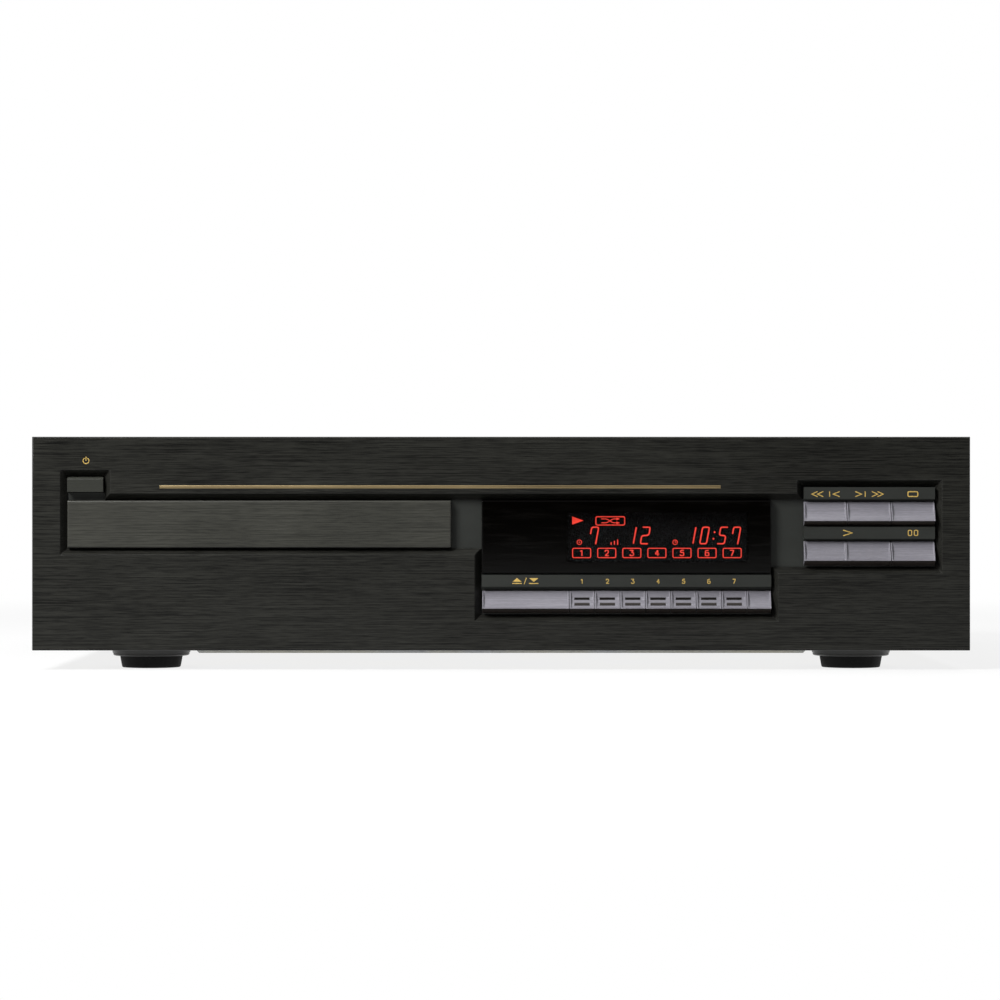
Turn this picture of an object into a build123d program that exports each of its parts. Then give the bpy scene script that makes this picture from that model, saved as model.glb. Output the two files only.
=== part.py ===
from build123d import *
import os
from math import acos, cos, pi, radians, tan

# A full-size seven disc changer with one drawer. Millimetres, +Z up, +X to the viewer's right,
# and the front faces -Y. The origin is the middle of the footprint, on the surface it stands on.
# Spans are pairs of a lower and an upper value along one axis.

os.makedirs("parts", exist_ok=True)

# ================================================================ driving dimensions

# Case
panel_width = 430.0
panel_height = 98.0
panel_thick = 5.0
panel_edge = 0.5  # chamfer round the panel's face
foot_height = 9.0
cover_inset = 1.0  # cover inside the panel's outline
cover_sheet = 1.0
cover_hem = 1.5  # cover's lower edge above the panel's
rear_sheet = 1.2
rear_space = 12.8  # between the mechanism base and the rear panel
pan_sheet = 1.2
pan_flange = 30.0
pan_lip = 9.0
lowered_half = 139.0  # half width of the pan's lowered middle
lowered_by = 1.4

# Clearances
fit_gap = 0.3  # round pieces that move or drop in
sheet_gap = 0.2  # between sheets that slide together
end_gap = 0.5  # ends and edges that stay apart
running = 0.05  # radial, a shaft in its bore
through = 1.0  # how far a cut runs past the wall that it opens

# Opening of the front panel
side_margin = 12.8
bevel_width = 3.0
bevel_depth = 4.0
pad_shadow = 0.6  # recess floor seen under the keypad
row_shadow = 0.7  # recess floor seen under the key row

# Drawer front
tray_height = 21.7
tray_rise = 47.1  # above the panel's lower edge
tray_inset = 0.3  # behind the panel's face
tray_edge = 0.5
tray_overhang = 12.0  # past the drawer's slot at each side

# Power button
button_width = 16.5
button_height = 6.9
button_rise = 3.9  # above the drawer front
button_travel = 3.0
button_inset = 0.4
button_edge = 1.0
button_stop = 2.0  # stops in from its ends
button_tail = 5.0  # body behind the bezel
pusher_radius = 2.0
pusher_length = 6.0
power_switch_length = 20.0
power_switch_half = 7.0
power_switch_gap = 1.0
switch_bracket = 2.0

# Display block and key row
display_gap = 14.0  # recess floor between drawer front and window
window_wall = 2.0
window_inset = 0.4
window_edge = 0.4
window_joint = 0.7  # between window and label strip
label_height = 5.5
label_shadow = 1.9  # between label strip and keys
row_rise = 17.1  # underside of the keys above the panel's lower edge
key_face = 8.0
key_under = 2.2
key_pitch = 11.63
disc_key_count = 7
cap_width = 11.0
slot_length = 7.0
slot_heights = (1.0, 1.2)
slot_rises = (0.49, 0.17)  # shares of the key's face, from its lip
slot_depths = (0.60, 0.32)  # shares of the key's slope

# Keypad on the right
keypad_width = 60.0
keypad_gap = 15.1  # recess floor between window and keypad
pad_rise = 38.9
pad_key_face = 8.8
pad_under = 2.3
strip_height = 5.5
strip_shadow = 1.2  # between a strip and the keys under it
strip_joint = 0.4  # between a strip and the keys over it
play_rib = 0.8  # the double key's rib, left of the joint above it

# Keys
key_reach = 2.0  # lips in front of the panel's face
key_recess = 2.6  # top edges behind the panel's face
key_scoop = 1.2  # depth of the scooped face behind its chord
key_chin = 1.0  # how far the undercut stops before the key's back
key_rest = 0.4  # gap behind a key that is fully pressed
key_gap = 0.25
key_travel = 1.0
rim = 0.6  # raised border at each end of a scoop
stem = 3.2
stem_catch = 1.0
catch_thick = 0.8
strip_proud = 4.6  # label strips in front of the recess floor

# Boards behind the bezel
bezel_thick = 2.5
bezel_rise = 1.9
board_thick = 1.6
board_stand = 6.5
board_margin = 3.0
board_post = 2.5
switch_size = 6.0
switch_depth = 4.0  # stem's end to the board
plunger_radius = 1.6
plunger_length = 0.6
tube_margin = (8.0, 4.0)
tube_foot = 3.0
tube_stand = 0.2

# Accent strip
accent_gap = 5.5  # above the drawer front
accent_height = 1.4
accent_ends = (42.4, 23.2)  # in from the drawer front's and the window's outer edges
accent_sink = 1.0
accent_proud = 0.2

# Discs, carriers and drawer
disc_diameter = 120.0
disc_thick = 1.2
well_gap = 0.7
well_depth = 1.4
carrier_side = 4.0  # carrier past the disc at each side
carrier_end = 3.0  # and at each end
carrier_thick = 2.8
carrier_slot = 38.0
stock_count = 6
stock_pitch = 4.2
deck_rise = 9.3  # carrier seat above the drawer front's lower edge
deck_thick = 3.0
deck_slot = 42.0
slot_ahead = 4.0  # slot in front of the turntable's edge
rail_height = 4.0
rail_width = 7.9
flange_reach = 2.2
drawer_spare = 14.0  # travel past the carrier's length
slot_margin = 1.4  # bezel's drawer slot round the drawer
rack_spare = 9.0  # rack left past the drive gear when the drawer is open
flange_tail = 10.3  # flanges behind the deck
rack_height = 4.5
rack_bar = 3.4

# Mechanism base
base_sheet = 2.5
base_rise = 11.0  # above the panel's lower edge
base_start = 2.0  # behind the bezel
base_side = 6.0
base_tail = 12.0
wall_thick = 3.0
wall_gap = 0.4
wall_rise = 8.5  # above the carrier seat
groove_depth = 2.0
groove_ledge = 3.0
carrier_start = 8.5  # carrier's front edge behind the bezel

# Gears and belt
gear_module = 1.0
pressure_angle = 20.0
addendum = 0.9  # in modules, as are the two depths
root_depth = 1.2
rack_depth = 1.15
rack_lead = 2  # whole teeth ahead of the drive gear's axis
cam_lead = 3
drive_teeth = 18
pinion_teeth = 12
lift_teeth = 20
backlash = 0.12
stud = 1.5
boss = 3.0
drive_set_back = 11.5  # gear axes behind the bezel
rack_offset = 2.0  # rack's pitch line inside the carrier's right edge
bar_offset = 1.1  # rack's bar behind its pitch line
gear_reach = 5.0  # drive gear below the rack
pulley_radius = 10.5
pulley_height = 4.0
pulley_gap = 2.0
pulley_groove = 1.5
groove_height = 2.4
motor_pulley_radius = 3.0
belt_span = 38.0
belt_thick = 1.2
belt_height = 1.6
belt_gap = 0.15
motor_radius = 10.5
motor_nose = (4.0, 1.5)
motor_clear = 1.5
shaft_radius = 1.0

# Pickup
seat_drop = 2.6  # turntable's seat below the drawer's deck
pickup_lift = 9.8
pickup_plate = 2.0
pickup_drop = 15.6  # pickup frame's top below the turntable's seat
pickup_side = 6.0  # past the rods
pickup_ahead = 23.0
pickup_end = 1.0  # past the ends of the rods
sled_gap = 2.0
sled_margin = 6.0
ear_half = 5.0
ear_post = 2.0
ear_shoulder = 3.4
ear_spare = 3.0
rod_radius = 1.5
rod_rise = 4.5
rod_gap = 7.0  # rods past the sled's sides
rod_block = 3.5
rod_block_length = 4.0
rod_start = 12.0
rod_spare = 8.0  # past the sled at the end of its travel
rod_cap = 3.0
sled_half = 19.0
sled_start = 17.0
sled_length = 26.0
sled_depth = 3.0
sled_top = 2.5
sled_air = 1.0
lens_start = 24.0
disc_edge = 2.0  # disc's rim that isn't read
lens_drop = 2.0  # lens below the turntable's seat
lens_height = 1.0
lens_radius = 3.0
lens_ring = 5.5
lens_round = 0.8
spindle_motor_radius = 11.0
spindle_motor_height = 11.0
spindle_hub = 2.2
spindle_rise = 1.5
turntable_radius = 15.5
turntable_thick = 2.4
turntable_hub = 4.0
cone_radii = (7.3, 6.3)
cone_height = 1.7

# Clamp
bridge_half = 24.0
bridge_sheet = 2.0
bridge_hole = 15.0
puck_radius = 14.0
puck_flange = 18.0
puck_cap = 2.0
puck_recess = (7.8, 1.8)

# Stocker and its lift
stock_gap = 6.0  # behind the drawer's rack
cage_gap = 0.4
cage_wall = 3.0
cage_plate = 2.0
cage_back = 3.0
cage_front = 1.0
shelf_reach = 3.0
shelf_thick = 1.0
cage_sink = 3.7
cage_head = 3.0
lug_half = 5.0
lug_height = 5.0
lug_wall = 3.8
post_radius = 2.5
post_offset = 11.0
post_inset = (24.0, 16.0)
post_head = 4.0
pin_radius = 2.0
pin_set_back = 38.0
pin_sink = 1.5
pin_spare = 0.2
cam_offset = 15.6
cam_sheet = 2.0
cam_run = 60.0
cam_ends = (12.0, 8.0)
cam_head = 8.0
cam_lift = 1.5  # plate above the base
cam_rack_rise = 21.5
cam_rack_height = 4.0
cam_rack_reach = 4.0
guide_ends = (14.0, 70.0)
guide_wall = 1.6
guide_pad = 1.2
guide_heights = (9.0, 6.0)
shelf_half = 18.0
shelf_end = 14.0
lift_motor_radius = 12.0
lift_motor_nose = 3.5
lift_motor_gap = 1.0

# Boards and power supply in the case
main_board_gap = 5.0  # to the rear panel
main_board_length = 240.0
main_board_offset = 22.7  # from the lift motor's axis
main_board_side = 7.0  # to the transformer
main_board_rise = 13.0  # above the panel's lower edge
pillar_inset = 5.0
pillar_side = 2.0  # outside the base's walls
pillar_radii = (4.0, 3.0)
transformer_inset = 41.0  # from the inside of the cover
transformer_back = 45.0
core_half = 28.0
core_depth = 18.0
core_height = 46.0
core_yoke = 9.0
core_limb = 9.5
core_window = 19.0
core_foot = 7.0
core_foot_thick = 1.5
coil_overhang = 15.0
coil_gap = 0.3
coil_corner = 6.0
reservoir = (9.0, 32.0)  # capacitors: radius and height
regulator = (6.5, 20.0)
coupling = (5.0, 14.0)

# Back
jack_reach = 12.0  # barrels behind the rear panel
jack_radius = 4.15
jack_hole = 1.6
jack_flange = 2.5
jack_collar = 2.25  # wider than the barrel
jack_collar_gap = 1.2
jack_pitch = 14.0
jack_start = 22.0  # first jack's axis from the board's left edge
jack_gap = 50.0  # to the third jack
jack_rise = 20.0
jack_body = 9.0
jack_body_depth = 12.0
jack_root = 9.0
inlet_rise = 24.0
inlet_wall = (2.0, 2.7)
inlet_depth = 22.0
inlet_flange = 2.0
inlet_proud = 1.5
socket_half = (8.5, 4.3)
socket_depth = 13.0
inlet_pin_offset = 4.3
inlet_pin_radius = 1.2
vent_length = 60.0
vent_width = 2.6
vent_pitch = 6.0
vent_count = 10
vent_back = 60.0

# Feet and screws
foot_side = 51.5
foot_insets = (33.0, 40.0)
foot_cap = (17.6, 18.5)  # radii at the lower and upper edge
pad_radii = (13.6, 14.6)
pad_height = 5.5
pad_hole = 5.0
foot_bore = 2.0
foot_screw = 4.0
foot_screw_height = 2.0
side_screw = 4.0
side_screw_head = 1.0
side_screw_rise = 18.0
side_screw_inset = 60.0
rear_screw = 3.5
rear_screw_head = 2.0
rear_screw_drop = 8.0
rear_screw_count = 5
rear_screw_inset = 22.8

# ================================================================ places worked out from them
# Lengths that follow from the disc
carrier_width = disc_diameter + 2 * carrier_side
carrier_length = disc_diameter + 2 * carrier_end
drawer_travel = carrier_length + drawer_spare
sled_travel = disc_diameter / 2 - lens_start - disc_edge

# Depths, from the front to the back: the case is as deep as what it holds
bezel_depth = panel_thick + bezel_thick
rack_reach = drive_set_back + drawer_travel + rack_spare
base_reach = rack_reach + stock_gap + carrier_length + base_tail
case_depth = bezel_depth + base_reach + rear_space + rear_sheet
total_depth = key_reach + case_depth + jack_reach
face_y = -total_depth / 2 + key_reach
floor_y = face_y + panel_thick
bezel_back = face_y + bezel_depth
rear_y = face_y + case_depth
rear_in = rear_y - rear_sheet
lip_y = face_y - key_reach
key_top_y = face_y + key_recess
key_back = floor_y - key_travel - key_rest
strip_y = floor_y - strip_proud
board_y = bezel_back + board_stand
stem_end = board_y - switch_depth

# Case outline
panel_half = panel_width / 2
panel_low = foot_height
panel_top = panel_low + panel_height
cover_half = panel_half - cover_inset
cover_top = panel_top - cover_inset
cover_low = panel_low + cover_hem
inner_half = cover_half - cover_sheet
inner_top = cover_top - cover_sheet
opening_half = panel_half - side_margin - bevel_width

# Drawer and drawer front
rail_inner = carrier_width / 2 + end_gap
rail_outer = rail_inner + rail_width
drawer_half = rail_outer + flange_reach
slot_half = drawer_half + slot_margin
tray = (-opening_half + fit_gap, -opening_half + fit_gap + 2 * (slot_half + tray_overhang))
tray_x = (tray[0] + tray[1]) / 2
tray_low = panel_low + tray_rise
tray_top = tray_low + tray_height
deck_z = tray_low + deck_rise
deck_low = deck_z - deck_thick
drawer_front = floor_y - fit_gap
carrier_front = bezel_back + carrier_start
rack_low = deck_low - rack_height
rack_end = bezel_back + rack_reach
drawer_back = rack_end - flange_tail
play_y = carrier_front + carrier_length / 2

# Power button
button = (tray[0], tray[0] + button_width)
button_z = (tray_top + button_rise, tray_top + button_rise + button_height)

# Keypad, window and key row
pad = (opening_half - fit_gap - keypad_width, opening_half - fit_gap)
window = (tray[1] + display_gap, pad[0] - keypad_gap)
row_low = panel_low + row_rise
row_z = (row_low, row_low + key_under, row_low + key_under + key_face)
label_z = (row_z[2] + label_shadow, row_z[2] + label_shadow + label_height)
window_z = (label_z[1] + window_joint, tray_top + 0.1)
pad_low = panel_low + pad_rise
lower_z = (pad_low, pad_low + pad_under, pad_low + pad_under + pad_key_face)
strip2_z = (lower_z[2] + strip_shadow, lower_z[2] + strip_shadow + strip_height)
upper_low = strip2_z[1] + strip_joint
upper_z = (upper_low, upper_low + pad_under, upper_low + pad_under + pad_key_face)
strip1_z = (upper_z[2] + strip_shadow, upper_z[2] + strip_shadow + strip_height)

# Mechanism
floor_low = panel_low + base_rise
floor_top = floor_low + base_sheet
wall_in = drawer_half + wall_gap
wall_out = wall_in + wall_thick
wall_top = deck_z + wall_rise
base_front = bezel_back + base_start
seat_z = deck_low - seat_drop
stock_front = rack_end + stock_gap
stock_back = stock_front + carrier_length
stock_top = deck_z + stock_pitch * stock_count + carrier_thick
base_back = stock_back + base_tail
lift_travel = stock_pitch * stock_count

# Gear train: the rack's teeth face the drive gear, the belt drives the pinion
drive_y = bezel_back + drive_set_back
rack_line = tray_x + carrier_width / 2 - rack_offset
drive_x = rack_line - gear_module * drive_teeth / 2 - running
pinion_x = drive_x - gear_module * (drive_teeth + pinion_teeth) / 2 - 2 * running
motor_x = pinion_x - belt_span
gear_z = (rack_low - gear_reach, deck_low - end_gap)
pulley_z = (gear_z[0] - pulley_gap - pulley_height, gear_z[0] - pulley_gap)
pulley_run = pulley_radius - pulley_groove

# Pickup
plate_z = (seat_z - pickup_drop - pickup_plate, seat_z - pickup_drop)
sled_y = (play_y + sled_start, play_y + sled_start + sled_length)
rod_z = plate_z[1] + rod_rise
rod_y = (play_y + rod_start, sled_y[1] + sled_travel + rod_spare)
rod_offset = sled_half + rod_gap
pickup_half = rod_offset + pickup_side
pickup_y = (play_y - pickup_ahead, rod_y[1] + pickup_end)
ear_x = pickup_half + ear_half
ear_ys = (pickup_y[0] + sled_margin, pickup_y[1] - sled_margin)
lens_y = play_y + lens_start
lens_top = seat_z - lens_drop
puck_low = seat_z + pickup_lift + disc_thick + fit_gap
bridge_z = (wall_top, wall_top + bridge_sheet)

# Stocker
cage_half = carrier_width / 2 + cage_gap
cage_out = cage_half + cage_wall
cage_y = (stock_front - cage_front, stock_back + end_gap + cage_back)
cage_z = (deck_z - cage_sink, stock_top + cage_head)
post_x = cage_half + post_offset
post_ys = (stock_front + post_inset[0], stock_back - post_inset[1])
post_z = (floor_top, inner_top - post_head)
pin_y = stock_front + pin_set_back
pin_z = deck_z - pin_sink
cam_x = tray_x + cage_half + cam_offset
cam = (cam_x, cam_x + cam_sheet)
cam_y = (pin_y - cam_ends[0], pin_y + cam_run + cam_ends[1])
cam_rack_z = (floor_top + cam_rack_rise, floor_top + cam_rack_rise + cam_rack_height)
cam_line = cam[1] + cam_rack_reach
lift_x = cam_line + gear_module * lift_teeth / 2 + running

# Boards, jacks and inlet
pan_half = inner_half - sheet_gap
pan_z = (panel_low, panel_low + pan_sheet)
transformer_x = inner_half - transformer_inset
board_right = transformer_x - core_half - core_foot - main_board_side
board_x = (lift_x + main_board_offset, board_right)
board_back = rear_in - main_board_gap
board_z = (panel_low + main_board_rise, panel_low + main_board_rise + board_thick)
jack_z = board_z[0] + jack_rise
jack_left = board_x[0] + jack_start
jack_xs = (jack_left, jack_left + jack_pitch, jack_left + jack_gap)
inlet_x = transformer_x
inlet_z = board_z[0] + inlet_rise
inlet_half = (socket_half[0] + inlet_wall[0], socket_half[1] + inlet_wall[1])

# Power supply
transformer_y = rear_in - transformer_back
core_z = (pan_z[1], pan_z[1] + core_height)

# Feet
foot_x = panel_half - foot_side
foot_ys = (face_y + foot_insets[0], rear_y - foot_insets[1])
foot_places = [(side * foot_x, foot_y) for side in (-1, 1) for foot_y in foot_ys]



def grow(span, amount):
    """A span made wider at both ends."""
    return (span[0] - amount, span[1] + amount)


def around(middle, half):
    """A span round its middle."""
    return (middle - half, middle + half)


def middle_of(span):
    """The middle of a span."""
    return (span[0] + span[1]) / 2


def mirrored(side, span):
    """A span that is measured from the drawer's middle, on one side of it."""
    return sorted((tray_x + side * span[0], tray_x + side * span[1]))


def block(x, y, z, mode=Mode.ADD):
    """A box from its spans along X, Y and Z."""
    with Locations((middle_of(x), middle_of(y), middle_of(z))):
        Box(x[1] - x[0], y[1] - y[0], z[1] - z[0], mode=mode)


def post(x, y, z, radius, mode=Mode.ADD):
    """An upright cylinder from its axis, its span along Z and its radius."""
    with Locations((x, y, middle_of(z))):
        Cylinder(radius, z[1] - z[0], mode=mode)


def rod(x, y, z, radius, mode=Mode.ADD):
    """A cylinder along Y, from its span along Y and its radius."""
    with Locations(Location((x, middle_of(y), z), (90, 0, 0))):
        Cylinder(radius, y[1] - y[0], mode=mode)


def cross_pin(x, y, z, radius, mode=Mode.ADD):
    """A cylinder along X, from its span along X and its radius."""
    with Locations(Location((middle_of(x), y, z), (0, 90, 0))):
        Cylinder(radius, x[1] - x[0], mode=mode)


def ring_cut(x, y, z, outer, inner):
    """Cut a groove round an upright cylinder."""
    with BuildSketch(Plane.XY.offset(z[0])) as groove:
        with Locations((x, y)):
            Circle(outer)
            Circle(inner, mode=Mode.SUBTRACT)
    extrude(groove.sketch, amount=z[1] - z[0], mode=Mode.SUBTRACT)


def front_plane(y):
    """A plane across the object that faces the front, at depth y."""
    return Plane.XZ.offset(-y)


def opening_corners(out):
    """Corners of the front panel's stepped opening, moved outwards from the bevel's foot."""
    left = -opening_half - out
    right = opening_half + out
    notch_right = button[1] + fit_gap + out
    notch_top = button_z[1] + fit_gap + out
    middle_top = tray_top + fit_gap + out
    pad_edge = pad[0] - fit_gap - out
    pad_top = strip1_z[1] + fit_gap + out
    pad_bottom = pad_low - pad_shadow - out
    row_right = window[1] + fit_gap + out
    row_bottom = row_low - row_shadow - out
    row_left = window[0] - fit_gap - out
    tray_bottom = tray_low - fit_gap - out
    return [
        (left, notch_top),
        (notch_right, notch_top),
        (notch_right, middle_top),
        (pad_edge, middle_top),
        (pad_edge, pad_top),
        (right, pad_top),
        (right, pad_bottom),
        (row_right, pad_bottom),
        (row_right, row_bottom),
        (row_left, row_bottom),
        (row_left, tray_bottom),
        (left, tray_bottom),
    ]


def key_profile(heights):
    """Corners of a key's side from its underside, lip and top, with the lip and the top edge."""
    low, lip, top = heights
    top_edge = Vector(key_top_y, top)
    lip_edge = Vector(lip_y, lip)
    corners = [(key_back, low), (key_back, top), (key_top_y, top), (lip_y, lip), (key_back - key_chin, low)]
    return corners, top_edge, lip_edge


def key_cap(x, heights, scoops, back=None):
    """A key's cap with scooped faces between raised rims, back to the depth back."""
    corners, top_edge, lip_edge = key_profile(heights)
    along = lip_edge - top_edge
    bow = (top_edge + lip_edge) * 0.5 + Vector(-along.Y, along.X).normalized() * key_scoop
    with BuildPart() as cap:
        with BuildSketch(Plane.YZ.offset(x[0])):
            Polygon(*corners, align=None)
        extrude(amount=x[1] - x[0])
        if back:
            block(x, (key_back, back), (heights[0], heights[2]))
        for scoop in scoops:
            with BuildSketch(Plane.YZ.offset(scoop[0])):
                with BuildLine():
                    Line((lip_edge.X, lip_edge.Y), (top_edge.X, top_edge.Y))
                    ThreePointArc((top_edge.X, top_edge.Y), (bow.X, bow.Y), (lip_edge.X, lip_edge.Y))
                make_face()
            extrude(amount=scoop[1] - scoop[0], mode=Mode.SUBTRACT)
    return cap.part


def pressed_key(x, heights, scoops, slotted=False):
    """A key that travels: its cap, a stem through the bezel and a catch behind the bezel."""
    middle = middle_of(x)
    stem_z = around((heights[0] + heights[2]) / 2, stem / 2)
    with BuildPart() as key:
        add(key_cap(x, heights, scoops))
        if slotted:
            for rise, depth, height in zip(slot_rises, slot_depths, slot_heights):
                low = heights[1] + rise * (heights[2] - heights[1])
                deep = lip_y + (rise + depth) * (key_top_y - lip_y)
                block(around(middle, slot_length / 2), (lip_y, deep), (low, low + height), Mode.SUBTRACT)
        block(around(middle, stem / 2), (key_back, stem_end), stem_z)
        catch_y = bezel_back + fit_gap
        block(around(middle, stem / 2 + stem_catch), (catch_y, catch_y + catch_thick), stem_z)
    return key.part


def whole_scoop(span):
    """One scoop that leaves a rim at each end of the key."""
    return [grow(span, -rim)]


def flank(teeth, radius):
    """Half the thickness of a gear's involute tooth at this radius."""
    pitch_radius = gear_module * teeth / 2
    base_radius = pitch_radius * cos(radians(pressure_angle))
    angle = acos(min(1.0, base_radius / radius))
    rolled = tan(radians(pressure_angle)) - radians(pressure_angle) - (tan(angle) - angle)
    return radius * (pi / (2 * teeth) + rolled) - backlash / 2


def gear_outline(x, y, teeth, turned):
    """A spur gear's outline, with its first tooth turned by this angle from +X."""
    pitch_radius = gear_module * teeth / 2
    root = pitch_radius - root_depth * gear_module
    steps = (-0.55, 0.0, addendum / 2, addendum)
    radii = [pitch_radius + step * gear_module for step in steps]
    upper = [(radius, flank(teeth, radius)) for radius in radii]
    # the tooth reaches into the root circle
    upper.insert(0, (root - 0.3 * gear_module, upper[0][1]))
    lower = [(radius, -thick) for radius, thick in reversed(upper)]
    with BuildSketch(Plane.XY) as outline:
        with Locations((x, y)):
            Circle(root)
            with PolarLocations(0, teeth, start_angle=turned):
                Polygon(*(upper + lower), align=None)
    return outline.sketch


def spur_gear(x, y, z, teeth, turned):
    """A spur gear on an upright stud."""
    outline = gear_outline(x, y, teeth, turned).moved(Location((0, 0, z[0])))
    with BuildPart() as gear:
        extrude(outline, amount=z[1] - z[0])
        post(x, y, grow(z, through), stud + running, Mode.SUBTRACT)
    return gear.part


def toothed_bar(x, y, z, facing, bar):
    """A rack along Y: x is its pitch line, facing is the teeth's side along X, bar is its span."""
    tooth_pitch = pi * gear_module
    half = tooth_pitch / 4 - backlash / 2
    tip = addendum * gear_module
    dip = rack_depth * gear_module
    slope = tan(radians(pressure_angle))
    tooth = [
        (x - facing * dip, half + dip * slope),
        (x + facing * tip, half - tip * slope),
        (x + facing * tip, -half + tip * slope),
        (x - facing * dip, -half - dip * slope),
    ]
    with BuildSketch(Plane.XY.offset(z[0])) as teeth:
        for index in range(int((y[1] - y[0]) / tooth_pitch)):
            with Locations((0, y[0] + (index + 0.5) * tooth_pitch)):
                Polygon(*tooth, align=None)
    block(bar, y, z)
    extrude(teeth.sketch, amount=z[1] - z[0])


def loop_face(large, small, z):
    """The area inside a belt round the pinion's pulley and the motor's pulley."""
    with BuildSketch(Plane.XY.offset(z)) as area:
        with Locations((pinion_x, drive_y)):
            Circle(large)
        with Locations((motor_x, drive_y)):
            Circle(small)
        make_hull()
    return area.sketch


def disc_carrier(y_front, z_low):
    """A flat carrier with a round well for a disc and a slot that the pickup rises through."""
    centre_y = y_front + carrier_length / 2
    z = (z_low, z_low + carrier_thick)
    with BuildPart() as carrier:
        block(around(tray_x, carrier_width / 2), (y_front, y_front + carrier_length), z)
        well_radius = disc_diameter / 2 + well_gap
        post(tray_x, centre_y, (z[1] - well_depth, z[1] + through), well_radius, Mode.SUBTRACT)
        slot_y = (centre_y, y_front + carrier_length + through)
        block(around(tray_x, carrier_slot / 2), slot_y, grow(z, through), Mode.SUBTRACT)
        post(tray_x, centre_y, grow(z, through), carrier_slot / 2, Mode.SUBTRACT)
    return carrier.part


def sheet_middle(x):
    """Height of the middle of the pan's sheet at this place across the pan."""
    lowered = lowered_by if abs(x) < lowered_half else 0.0
    return middle_of(pan_z) - lowered


# ================================================================ front panel

accent_x = (tray[0] + accent_ends[0], window[1] - accent_ends[1])
accent_z = (tray_top + accent_gap, tray_top + accent_gap + accent_height)

with BuildPart() as front_panel:
    block((-panel_half, panel_half), (face_y, floor_y), (panel_low, panel_top))
    chamfer(front_panel.faces().sort_by(Axis.Y)[0].edges(), panel_edge)
    # stepped opening with a bevelled edge
    with BuildSketch(front_plane(floor_y)):
        Polygon(*opening_corners(0), align=None)
    extrude(amount=panel_thick, mode=Mode.SUBTRACT)
    with BuildSketch(front_plane(face_y + bevel_depth)):
        Polygon(*opening_corners(0), align=None)
    with BuildSketch(front_plane(face_y)):
        Polygon(*opening_corners(bevel_width), align=None)
    loft(ruled=True, mode=Mode.SUBTRACT)
    # groove that the accent strip is laid in
    block(accent_x, (face_y - through, face_y + accent_sink), accent_z, Mode.SUBTRACT)
front_panel.part.label = "front_panel"
export_step(front_panel.part, "parts/front_panel.step")

with BuildPart() as accent_strip:
    block(accent_x, (face_y - accent_proud, face_y + accent_sink), accent_z)
accent_strip.part.label = "accent_strip"
export_step(accent_strip.part, "parts/accent_strip.step")

# ================================================================ places of the keys

# The load key takes what the disc keys and the end cap leave of the row.
cap_span = (window[1] - cap_width, window[1])
disc_spans = []
for index in range(disc_key_count):
    start = cap_span[0] - key_pitch * (disc_key_count - index)
    disc_spans.append((start, start + key_pitch - key_gap))
load_span = (window[0] + fit_gap, disc_spans[0][0] - key_gap)

# Three keys above, a double key and a single one below.
third = keypad_width / 3
joints = (pad[0] + third, pad[0] + 2 * third)
back_span = (pad[0], joints[0] - 2 * key_gap)
forward_span = (joints[0] - key_gap, joints[1] - key_gap)
stop_span = (joints[1], pad[1])
play_span = (pad[0], joints[1] - key_gap)
pause_span = stop_span

key_places = [(load_span, row_z)]
key_places += [(span, row_z) for span in disc_spans]
key_places += [(span, upper_z) for span in (back_span, forward_span, stop_span)]
key_places += [(span, lower_z) for span in (play_span, pause_span)]
stem_places = [(middle_of(span), (z[0] + z[2]) / 2) for span, z in key_places]

# ================================================================ bezel, window and boards

tube_x = grow(window, -tube_margin[0])
tube_z = grow(window_z, -tube_margin[1])
bezel_cut = (floor_y - through, bezel_back + through)

with BuildPart() as control_bezel:
    bezel_z = (panel_low + bezel_rise, inner_top - sheet_gap)
    block(around(0, inner_half - end_gap), (floor_y, bezel_back), bezel_z)
    # label strips stand forward of the recess floor
    block(window, (strip_y, floor_y), label_z)
    block(pad, (strip_y, floor_y), strip2_z)
    block(pad, (strip_y, floor_y), strip1_z)
    # drawer, display tube, power button and key stems pass through
    drawer_slot_z = (rack_low - through, deck_z + rail_height + slot_margin)
    block(around(tray_x, slot_half), bezel_cut, drawer_slot_z, Mode.SUBTRACT)
    block(grow(tube_x, fit_gap), bezel_cut, grow(tube_z, fit_gap), Mode.SUBTRACT)
    block(grow(button, fit_gap), bezel_cut, grow(button_z, fit_gap), Mode.SUBTRACT)
    for stem_x, stem_z in stem_places:
        hole = stem / 2 + fit_gap
        block(around(stem_x, hole), bezel_cut, around(stem_z, hole), Mode.SUBTRACT)
    # posts that carry the display board and the keypad board
    for side_x in grow(window, -board_margin):
        for side_z in (label_z[0] + board_post, window_z[1] - board_margin):
            rod(side_x, (bezel_back, board_y), side_z, board_post)
    for side_x in grow(pad, -board_margin):
        for side_z in (middle_of(strip1_z), middle_of(strip2_z)):
            rod(side_x, (bezel_back, board_y), side_z, board_post)
control_bezel.part.label = "control_bezel"
export_step(control_bezel.part, "parts/control_bezel.step")

with BuildPart() as display_window:
    window_face = face_y + window_inset
    block(window, (window_face, floor_y), window_z)
    chamfer(display_window.faces().sort_by(Axis.Y)[0].edges(), window_edge)
    pocket_y = (window_face + window_wall, floor_y + through)
    block(grow(window, -window_wall), pocket_y, grow(window_z, -window_wall), Mode.SUBTRACT)
display_window.part.label = "display_window"
export_step(display_window.part, "parts/display_window.step")

with BuildPart() as display_tube:
    block(tube_x, (floor_y + fit_gap, board_y - tube_stand), tube_z)
display_tube.part.label = "display_tube"
export_step(display_tube.part, "parts/display_tube.step")

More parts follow.
